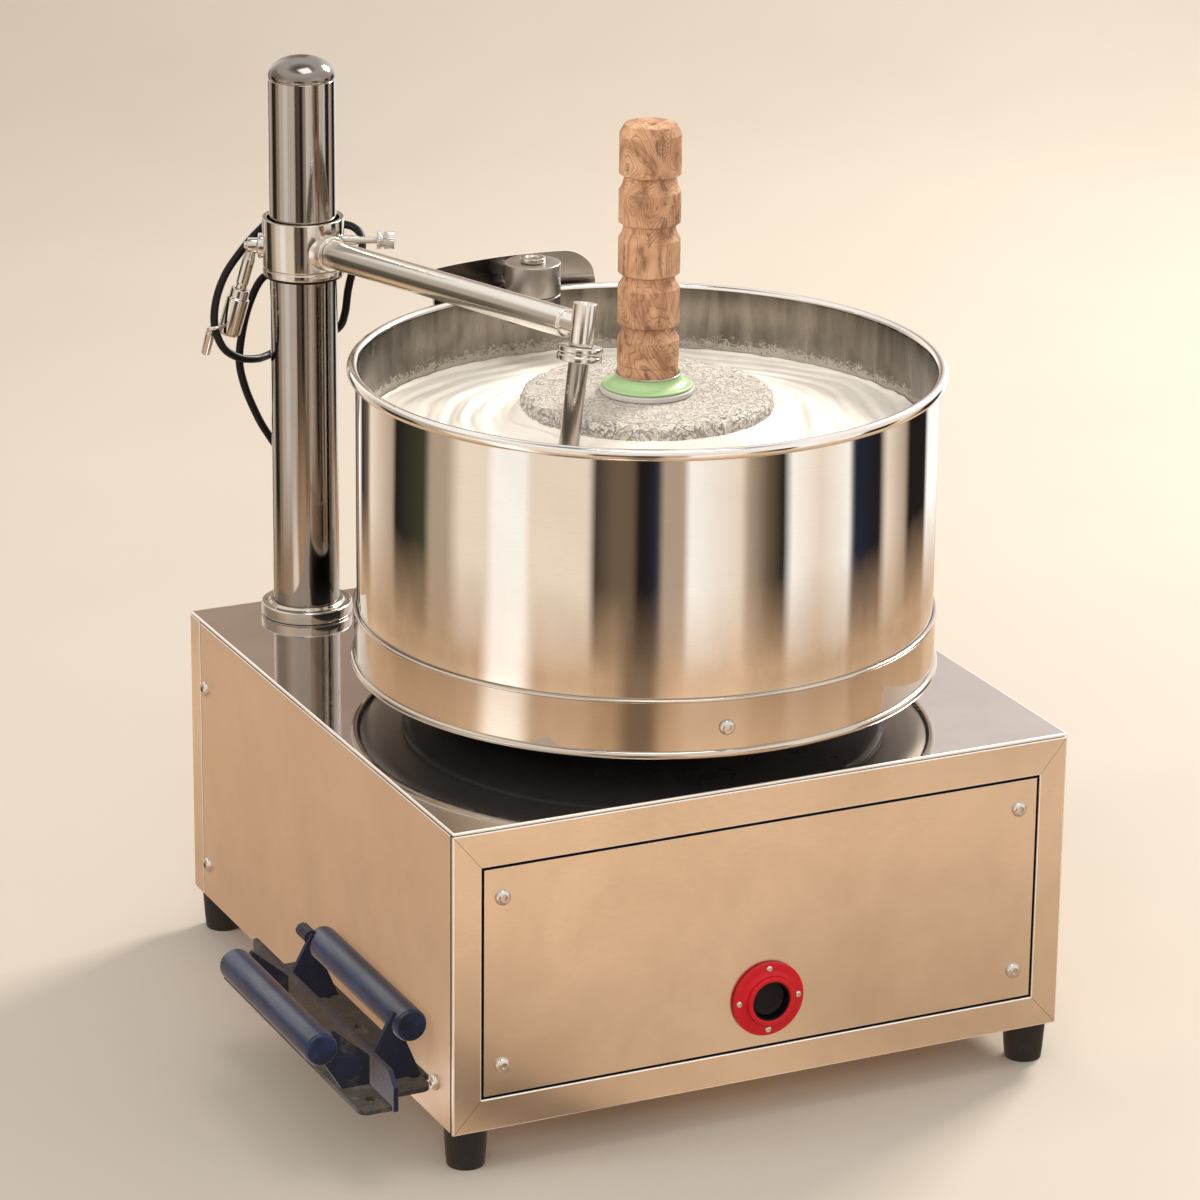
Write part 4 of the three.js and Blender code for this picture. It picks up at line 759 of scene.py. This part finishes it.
def stone():
    top, low, flat = STONE_TOP, 288.9, 27
    rings = [(0, top)] + [(r, top) for r in (10, 20, 26)] + [(26 + 45 * k / 36, top) for k in range(1, 37)]
    edge = [(radius, top - drop) for radius, drop in (
        (72.6, 0.2), (74.0, 0.7), (75.1, 1.6), (75.8, 2.7), (76.2, 4), (76.3, 6), (76.3, 9), (76.2, 12), (76, 20),
        (76.3, 60))] + [(60.5, low), (30, low)]

    def chisel(radius, height, angle):
        """Rough top and chipped edge."""
        if radius < flat or height < top - 21:
            return radius, height
        at = Vector((radius * cos(angle), radius * sin(angle), height))
        rough = noise.fractal(at * 0.2, 0.9, 2.1, 4) * 0.5
        fine = noise.noise(at * 1.0) * 0.3
        if radius < 70:
            return radius, height + (rough + fine) * min(1, (radius - flat) / 5) - 0.3
        chip = abs(noise.noise(Vector((angle * 26, height * 0.22, 3.1))))
        notch = max(0.0, noise.noise(Vector((angle * 11, height * 0.12, 7.7)))) * 1.6
        return radius - (1.6 * chip + notch + fine), height - (chip + notch * 0.8 if height > top - 4 else 0)

    at = move(*DRUM)
    piece("top_stone_look", *lathe(rings + edge, 400, wave=chisel), "stone", at, sharp=60)
    turned("stone_washer_look", ring(0, 28.5, 405.8, 409), "grey", at, soft=0.6)
    rim = 409.3
    flare = [(0, rim), (26.6, rim), (27, rim + 0.4), (27, rim + 1.1), (26.5, rim + 1.5)]
    flare += [(19.5 + 6.6 * (1 - sin(t)), rim + 1.6 + 5.5 * (1 - cos(t))) for t in (pi / 20 * k for k in range(11))]
    flare += [(0, rim + 7.1)]
    turned("handle_flange_look", flare, "green", at, soft=0.3, facets=128)


def batter():
    inner, outer, rings = 74.8, 172.2, 170
    slope = [(inner, 8.0), (78.5, 9.5), (82, 13.0), (86.8, 16.4), (92, 17.2), (101.8, 17.6), (112, 19.6), (123.8, 21.4),
             (140, 23.0), (160, 24.0), (outer, 24.2)]

    def level(r):
        for (r0, d0), (r1, d1) in zip(slope, slope[1:]):
            if r <= r1:
                return STONE_TOP - (d0 + (d1 - d0) * (r - r0) / (r1 - r0))
        return STONE_TOP - slope[-1][1]

    radii = [inner + (outer - inner) * k / rings for k in range(rings + 1)]
    profile = [(r, sum(level(r + d) for d in (-2, -1, 0, 1, 2)) / 5) for r in radii]

    def ripple(radius, height, angle):
        """Spiral waves that die away at the stone and at the wall, where the batter clings a little higher."""
        if height < 380:
            return radius, height
        at = Vector((radius * cos(angle), radius * sin(angle), 0))
        spiral = radius / 15 - angle / TURN + noise.noise(at * 0.014 + Vector((1, 4, 2))) * 0.9
        near = exp(-((radius - 100) / 30) ** 2)
        wave = sin(TURN * spiral) * 0.75 + 0.25 * sin(2 * TURN * spiral + 0.9 + 2 * noise.noise(at * 0.03))
        slow = noise.noise(at * 0.016) * 0.8
        soft = 0.6 + 0.55 * noise.noise(at * 0.02 + Vector((5, 2, 1)))
        fade = min(1, (outer - radius) / 4, max(0.0, radius - 75) / 5)
        cling = 1.3 * max(0.0, 1 - (outer - radius) / 4) * (0.6 + 0.9 * noise.noise(Vector((angle * 14, 1, 0))))
        return radius, height + (near * wave * 2.3 * soft + 0.7 * wave * soft + slow) * fade + cling

    skirt = [(outer, 379), (outer, 300), (outer, 245), (166, 238.3), (119.5, 238.3), (119.5, 289), (inner, 289),
             (inner, 379)]
    piece("batter_look", *lathe(profile + skirt, 320, True, wave=ripple), "batter", move(*DRUM), sharp=70)


def wooden_handle():
    foot, top, full, neck = 416.7, 569.5, 18.55, 0.845
    length = top - foot
    start = 0.036
    shares = [(0.0, 0.84), (start, 1.0)]
    for lip, out in ((0.1925, 0.262), (0.385, 0.452), (0.5875, 0.645), (0.791, 0.853)):
        shares += [(start + (lip - start) * k / 5, 1.0) for k in range(1, 6)]
        shares += [(lip + 0.010, neck + 0.02), (lip + 0.017, neck), (lip + 0.028, neck + 0.005),
                   (out - 0.018, neck + 0.065), (out, 1.0)]
        start = out
    shares += [(start + (0.95 - start) * k / 4, 1.0) for k in range(1, 5)]
    shares += [(0.956, 0.972), (0.962, 0.985), (0.98, 0.985), (1.0, 0.975)]
    shape = [(0, top - 1.4), (2.4, top - 1.3), (3.8, top - 0.15)]
    shape += [(full * out, top - length * down) for down, out in shares] + [(0, foot)]

    def carve(radius, height, angle):
        if radius < 12:
            return radius, height
        at = Vector((cos(angle) * 2.2, sin(angle) * 2.2, height * 0.11))
        edge = min(1, (height - foot) / 3, max(0.0, top - height) / 3)
        return radius + noise.fractal(at, 0.9, 2.0, 3) * 0.12 * edge, height + noise.noise(at * 0.9) * 0.2 * edge

    piece("wooden_handle_look", *lathe(shape, 160, wave=carve), "wood", move(*DRUM), sharp=14)
    turned("handle_seat_ring", ring(19, 20, 416.6, 417.7), "bolt", move(*DRUM), soft=0.3, closed=True, body="stone")


# Column, collar, lever and arm
def column():
    at = move(*COLUMN)
    shaft = [(18.5, SEAT), (21, SEAT), (21, 300), (21, 400), (21, 561.4), (20.5, 561.8), (20.5, 562.2), (20.9, 562.6)]
    dome = [(21 * cos(t), 562.6 + 13.4 * sin(t)) for t in (pi / 32 * k for k in range(1, 16))] + [(0, 576)]
    # Faces of the dome take the darker dome steel, a painted shade.
    marks = [0] * (len(shaft) - 1) + [1] * len(dome)
    verts, faces = lathe(shaft + dome, 128)
    paint = [marks[i % len(marks)] for i in range(len(faces))]
    piece("column_look", verts, faces, ["tube", "dome"], at, paint=paint, sharp=50)
    flange = [(21.3, SEAT), (28.3, SEAT), (28.3, 214.9), (29, 215.3), (29, 221.4), (28.3, 222.1), (24.2, 222.1),
              (23.2, 223.5), (21.3, 223.5)]
    turned("column_flange_look", flange, "collar", at, soft=0.2, facets=128, closed=True)
    for k in range(4):
        angle = radians(ACROSS + 90 * k)
        button_screw(f"column_screw_{k + 1}", at @ move(26.4 * cos(angle), 26.4 * sin(angle), 222.0), 0.3, "dull")


AT_COLLAR = move(COLUMN[0], COLUMN[1], ARM["height"])
ARM_FRAME = AT_COLLAR @ spin(ARM["yaw"], "Z") @ spin(-ARM["pitch"], "Y") @ spin(-ARM["roll"], "X")
ALONG_X = spin(90, "Y")
LEVER_ANGLE = ACROSS + 180


def collar():
    at = move(*COLUMN)
    tube = [(22.7, 438), (25.5, 438), (25.5, 441.6), (25.1, 442.1), (25.1, 443), (25.5, 443.5), (25.5, 474),
            (22.7, 474)]
    turned("collar_look", tube, "collar", at, soft=0.5, facets=128, closed=True, node="arm_collar")
    boss = [(6.7, 18), (12.4, 22.5), (11.5, 24.4), (11.0, 26.2), (10.8, 28), (10.8, 31), (6.7, 31)]
    turned("collar_boss", boss, "arm", ARM_FRAME @ ALONG_X, closed=True, node="arm_collar")
    pad = [(0, 22.8), (8, 22.8), (8, 28.1), (2.4, 28.1), (2.4, 36.9), (0, 36.9)]
    turned("lever_pad", pad, "bolt", radial(COLUMN[0], COLUMN[1], ARM["height"], LEVER_ANGLE), soft=0.7, facets=64,
           node="arm_collar")
    box_piece("cord_clip", (23, -14, 442), (33, -6, 466), "bolt", at @ spin(ACROSS + 90, "Z"), 0.9, "arm_collar")
    turned("collar_bush_look", ring(21.3, 24.4, 436.3, 437.7), "black", at, soft=0.3, closed=True)


def clamp_screw():
    shape = [(0, 25.0), (3, 25.0), (3, 33), (2.6, 34), (2.3, 34.5)]
    for k in range(9):
        shape += [(2.3, 35 + k * 1.2), (1.95, 35.6 + k * 1.2)]
    shape += [(2.3, 46), (5.4, 46), (5.4, 48.4), (4.4, 48.6), (4.4, 50.2), (5.4, 50.4), (5.4, 57), (2.4, 57),
              (2.2, 55.6), (0, 55.6)]

    def knurl(radius, height, angle):
        on_head = radius > 5 and height > 46
        return radius - (0.22 * abs(sin(angle * 14)) if on_head else 0), height

    place = radial(COLUMN[0], COLUMN[1], 459, ACROSS)
    piece("clamp_screw_look", *lathe(softened(shape, 0.3, 2), 168, wave=knurl), "lever", place)


def lever():
    pin = AT_COLLAR @ spin(LEVER_ANGLE, "Z")
    turned("lever_hub", ring(2.7, 5, 28.4, 34.6), "lever", pin @ ALONG_X, soft=0.5, facets=64, closed=True,
           node="lock_lever")
    hang = pin @ move(31.5, 0, 0) @ spin(-15.5, "Y")
    rod = [(0, -36.9), (3.5, -36.9), (3.5, -26), (3.9, -25), (3.9, -9), (3.4, -7), (3.2, -4), (0, -3)]
    turned("lever_rod", rod, "lever", hang, facets=64, node="lock_lever")
    grip = [(0, -60), (5.6, -60), (7.2, -58.2), (7.2, -35.4), (6.0, -34.6), (6.0, -29.3), (5.2, -29), (3.8, -29),
            (3.8, -36), (0, -37)]
    turned("lever_grip_look", grip, "lever", hang, soft=0.5, facets=64)


def arm():
    reach, radius, spigot, bore = ARM["reach"], 8.8, 7.2, 6.6
    tube = [(0, 26.6), (6.4, 26.6), (6.4, 31.3), (8.4, 31.3), *((radius, x) for x in (31.9, 60, 120, 200, 261.2)),
            (8.2, 262), (spigot, 262.3), *((r, reach) for r in (spigot, bore, 5.4, 3.6, 1.8, 0))]

    def saddle(radius, distance, angle):
        """The tube's end follows the sleeve's bore, so that the rod slides past it."""
        if distance < reach - 0.9:
            return radius, distance
        return radius, distance - sqrt(max(0.0, bore**2 - (radius * sin(angle))**2))

    turned("arm_tube_look", tube, "arm", ARM_FRAME @ ALONG_X, soft=0.35, wave=saddle)
    end = ARM_FRAME @ move(reach, 0, 0)
    sleeve = [(6.25, 10.5), (6.25, -10.5), (7.2, -10.5), (7.2, 14.5), (3.2, 14.5), (2.6, 13.4), (0, 13.2)]
    turned("arm_sleeve", sleeve, "arm", end, soft=0.5, node="arm_tube")
    clamp = [(6.25, -19.4), (13.4, -19.4), (13.4, -16.4), (12.9, -16.0), (12.9, -14.2), (13.4, -13.8), (13.4, -10.8),
             (6.25, -10.8)]
    turned("clamp_ring_look", clamp, "bolt", end, soft=0.5, closed=True)
    rod = [(0, -75), (5.3, -75), (5.95, -74.2), (5.95, -40), (5.95, 0), (0, 0)]
    turned("scraper_rod_look", rod, "satin", end, soft=0.3)


# Guard and steady roller
def guard():
    radius, sheet, foot, top, corner, half = 187, 1.5, 209, 443, 20, 56.4
    columns, rows = 72, 40
    centre, spread = radians(92.04), asin(half / radius)

    def at(r, angle, z):
        return r * cos(angle), r * sin(angle) + DRUM[1], z

    verts, sides, ends = [], [], []
    for i in range(columns + 1):
        across = -half + 2 * half * i / columns
        past = max(0.0, corner - (across + half))
        high = top - (corner - sqrt(max(0.0, corner**2 - past**2)))
        for k in range(rows + 1):
            verts += [at(r, centre + asin(across / radius), SEAT + (high - SEAT) * k / rows)
                      for r in (radius, radius + sheet)]
    step = (rows + 1) * 2
    for i in range(columns):
        for k in range(rows):
            a = i * step + k * 2
            sides += [(a, a + 2, a + step + 2, a + step), (a + 1, a + step + 1, a + step + 3, a + 3)]
    for i in range(columns):
        a, b = i * step, i * step + rows * 2
        ends += [(a, a + step, a + step + 1, a + 1), (b, b + 1, b + step + 1, b + step)]
    ends += [(a, a + 1, a + 3, a + 2) for i in (0, columns) for a in range(i * step, i * step + rows * 2, 2)]
    # The sheet's cut edges take the near-white edge steel, a painted highlight line.
    paint = [0] * len(sides) + [1] * len(ends)
    piece("guard_look", verts, sides + ends, ["guard", "edge"], paint=paint)
    section = ring(radius + 1.6, foot, SEAT, SEAT + sheet)
    verts = [at(r, centre - spread + 2 * spread * i / columns, z) for i in range(columns + 1) for r, z in section]
    faces = [(i * 4 + k, i * 4 + k + 4, i * 4 + (k + 1) % 4 + 4, i * 4 + (k + 1) % 4)
             for i in range(columns) for k in range(4)]
    faces += [(0, 1, 2, 3), tuple(columns * 4 + k for k in (3, 2, 1, 0))]
    piece("guard_foot", verts, faces, "guard", node="guard")


def roller():
    angle, away = 91.9, 154.9
    at = move(away * cos(radians(angle)), DRUM[1] + away * sin(radians(angle)), 0)
    bore, outer = 4.3, 17.5
    turned("roller_housing_look", ring(bore, outer, 427.3, 447), "roller", at, soft=0.8, closed=True)
    turn = move(*DRUM) @ spin(angle, "Z")
    box_piece("roller_tab", (168, -4.5, 429), (186.8, 4.5, 437), "dull", turn, 0.8, "roller_housing")
    turned("rim_roller_look", ring(bore, outer, 410, 427), "dull", at, soft=0.8, closed=True)
    nut = [(0, 407.7), (7, 407.7), (7, 409.7), (4, 409.7), (4, 447.3), (8, 447.3), (8, 450.2), (4.2, 450.2),
           (4.0, 449.4), (0, 449.4)]
    turned("roller_axle_look", nut, "bolt", at, facets=64)


# Carrying bracket
def bracket():
    obj = refined("handle_bracket", "navy", 0.5)
    for key in ("bare", "blue_web", "worn_edge"):
        obj.data.materials.append(MATERIALS[key])
    obj.modifiers["edge"].material = 3
    obj.visible_glossy = False
    plate_top, web = 50.2, (-240, -232)
    for face in obj.data.polygons:
        at = TO_FRAME.inverted() @ face.center
        if at.z < plate_top:
            face.material_index = 1
        elif abs(face.normal.y) > 0.9 or not web[0] <= at.x <= web[1]:
            face.material_index = 2
    bar = [(0, -177), (8.6, -177), (9.2, -176.6), (9.4, -175.6), (9.55, -175.2), (10, -174.6), (10, -150), (10, -110),
           (10, -60), (10, -39.6), (9.4, -38), (0, -38)]
    for node, x, z in (("inner_grip", -213, 84), ("outer_grip", -269, 79)):

        def dent(radius, height, angle):
            if radius < 9:
                return radius, height
            at = Vector((cos(angle) * 1.2, sin(angle) * 1.2, height * 0.03 + x))
            return radius + noise.noise(at) * 0.1, height

        grip = turned(node + "_bar", bar, "grip", move(x, 0, z) @ spin(-90, "X"), soft=0.5, facets=72, wave=dent,
                      node=node)
        grip.visible_glossy = False


def dress_hidden_nodes():
    for material, nodes in {
        "iron": ("motor", "motor_pulley", "drum_pulley", "bearing_housing"), "belt": ("v_belt",),
        "zinc": ("spindle", "spindle_bush", "centre_pin"), "black": ("stone_bush", "switch_body"),
        "stone_dark": ("base_stone",),
    }.items():
        for node in nodes:
            materials = frame["nodes"][node].data.materials
            materials.clear()
            materials.append(MATERIALS[material])


# Studio, in metres
MIDDLE = (0.04, 0, 0.3)


def stage_piece(name, verts, faces, material):
    mesh = bpy.data.meshes.new(name)
    mesh.from_pydata(verts, [], faces)
    mesh.materials.append(material)
    obj = added(name, mesh)
    return obj


def sweep():
    """Pale floor that curves up into a backdrop."""
    bend, wide = 1.6, 7
    path = [(-6, 0), (-3, 0), (0, 0), (2.2, 0)]
    path += [(2.2 + bend * sin(t), bend - bend * cos(t)) for t in (pi / 40 * k for k in range(1, 21))]
    path += [(3.8, 6)]
    verts = [(x, y, z) for y, z in path for x in (-wide, wide)]
    faces = [(2 * i, 2 * i + 1, 2 * i + 3, 2 * i + 2) for i in range(len(path) - 1)]
    s = Shader("pale_floor", specular_ior_level=0.2, roughness=0.55)
    s.put("Base Color", s.mix(s.span(s.noise(2.5, 3), 0.3, 0.7), (0.43, 0.39, 0.34), (0.45, 0.41, 0.36)))
    obj = stage_piece("studio_sweep", verts, faces, s.material)
    obj.data.shade_smooth()
    obj.data.transform(spin(ACROSS, "Z"))
    obj.visible_glossy = False


def near_floor():
    """Glowing disc round the machine that only the steel reflects, painted with light and shaded bands by direction,
    and that thins out towards its edge.
    """
    reach, rings, spokes, level = 1.5, 12, 96, -0.0002
    verts = []
    for step in range(1, rings + 1):
        radius = reach * step / rings
        angles = (TURN * k / spokes for k in range(spokes))
        verts += [(MIDDLE[0] + radius * cos(a), radius * sin(a), level) for a in angles]
    faces = [tuple(range(spokes))]
    for a in range(0, (rings - 1) * spokes, spokes):
        faces += [(a + k, a + (k + 1) % spokes, a + spokes + (k + 1) % spokes, a + spokes + k) for k in range(spokes)]
    s = Shader("glowing_reflection_disc", specular_ior_level=0.1, roughness=0.7)
    grain = s.span(s.noise(4.5, 4, 0.6, 0.6), 0.35, 0.65)
    x, y, away = s.from_drum()
    usual, shade, pale, glow = (0.40, 0.272, 0.172), (0.35, 0.24, 0.152), (0.92, 0.84, 0.78), (0.52, 0.36, 0.235)
    dark = (0.13, 0.09, 0.058)
    tone = s.bands(s.compass(x, y), (-180, usual), (-130, shade), (-80, shade), (-63, usual), (-57, pale), (-46, pale),
                   (-40, usual), (-11, usual), (-6, dark), (2, dark), (6, usual), (13, glow), (36, glow), (60, usual),
                   (180, usual))
    s.put("Base Color", s.mix(grain, (0.34, 0.24, 0.16), (0.40, 0.29, 0.20)))
    # The disc glows with these bands: painted reflections of light and shade in the steel.
    s.put("Emission Color", s.mix(1.0, tone, s.mix(grain, (0.84, 0.84, 0.84), (1, 1, 1)), "MULTIPLY"))
    s.put("Emission Strength", s.times(s.span(away, 0.33, 0.66, 1.4, 2.2), s.span(away, 0.8, 0.88, 1.0, 0.74)))
    s.put("Alpha", s.span(s.plus(away, s.times(s.noise(5, 3, 0.6), 0.08)), 0.95, 1.2, 0.9, 0.0))
    obj = stage_piece("near_floor", verts, faces, s.material)
    obj.visible_camera = obj.visible_diffuse = obj.visible_shadow = False


def area(name, place, size, power, colour, glossy=False):
    data = bpy.data.lights.new(name, "AREA")
    data.shape, data.size, data.size_y = "RECTANGLE", *size
    data.energy, data.color = power, colour
    obj = added(name, data)
    obj.location = place
    obj.rotation_euler = (Vector(MIDDLE) - Vector(place)).to_track_quat("-Z", "Y").to_euler()
    obj.visible_camera, obj.visible_glossy = False, glossy


def surroundings():
    """Dim room with tall soft boxes, which the steel reflects. The camera sees a plain pale ground."""
    world = bpy.data.worlds.new("studio")
    bpy.context.scene.world = world
    world.use_nodes = True
    n = Nodes(world.node_tree)
    x, y, z = n.node("SeparateXYZ", n.node("TexCoord").outputs["Generated"]).outputs
    turn = n.compass(x, y)
    bright, soft, mid, brown = (1, 0.98, 0.96), (0.84, 0.73, 0.62), (0.44, 0.35, 0.27), (0.15, 0.108, 0.072)
    dark, navy, grey = (0.016, 0.013, 0.012), (0.018, 0.024, 0.045), (0.42, 0.37, 0.32)
    far, rose, even = (0.62, 0.53, 0.48), (0.73, 0.66, 0.65), (0.72, 0.65, 0.58)
    left = n.bands(turn, (-180, far), (-172, (0.43, 0.32, 0.245)), (-165, (0.6, 0.5, 0.42)), (-160, bright),
                   (-157, bright), (-153, dark), (-144, brown), (-140, soft), (-120, mid), (-117, dark),
                   (-98, (0.05, 0.05, 0.03)), (-94, mid), (-85, mid), (-78, soft), (-66, soft), (-62, bright),
                   (-49, bright), (-46, soft), (-23, soft), (-20, (0.06, 0.045, 0.035)), (-13, brown), (-6, brown),
                   (-3, dark), (0, dark))
    right = n.bands(turn, (0, dark), (4, navy), (7, mid), (14, mid), (17, bright), (37, soft), (40, mid), (48, brown),
                    (55, dark), (59, bright), (72, soft), (86, bright), (89, navy), (104, dark), (109, soft),
                    (122, mid), (126, dark), (142, dark), (146, bright), (164, bright), (171, rose), (180, far))
    level = n.bands(turn, (-180, (0.22, 0.16, 0.135)), (-176, (0.36, 0.26, 0.2)), (-170, (0.43, 0.34, 0.27)),
                    (-158, bright), (-140, soft), (-122, grey), (-98, grey), (-84, mid), (-48, soft), (-20, even),
                    (10, even), (30, soft), (58, bright), (88, soft), (112, soft), (140, bright), (164, bright),
                    (171, rose), (180, far))
    above = n.ramp(z, (0.5, (0.80, 0.76, 0.72)), (0.84, (0.95, 0.92, 0.89)), (0.96, (0.25, 0.235, 0.22)))
    ground = n.mix(n.calc("GREATER_THAN", turn, 0.5), left, right)
    room = n.mix(n.span(z, 0.42, 0.56), n.mix(n.span(z, 0.0, 0.14), ground, level), above)
    camera_ray = n.node("LightPath").outputs["Is Camera Ray"]
    back = n.tree.nodes["Background"]
    n.link(n.mix(camera_ray, room, (0.80, 0.74, 0.66)), back.inputs[0])
    back.inputs[1].default_value = 1.35


def studio():
    sweep()
    near_floor()
    area("key", (2.2, 1.1, 1.9), (0.8, 0.8), 105, (1, 0.93, 0.84), True)
    area("fill", (-1.4, -2.6, 1.6), (1.4, 1.0), 26, (1, 0.97, 0.93))
    area("left", (-2.6, 0.3, 1.2), (0.5, 1.2), 32, (1, 0.98, 0.95))
    area("top", (0.1, -0.3, 2.8), (1.1, 1.1), 16, (1, 0.97, 0.93), True)
    surroundings()
    bpy.context.scene.view_settings.view_transform = "Standard"


make_camera()
tether_cord()
cabinet_panels()
front_frame()
cabinet_screws()
feet()
power_button()
drum()
stone()
batter()
wooden_handle()
column()
collar()
clamp_screw()
lever()
arm()
guard()
roller()
bracket()
dress_hidden_nodes()
studio()
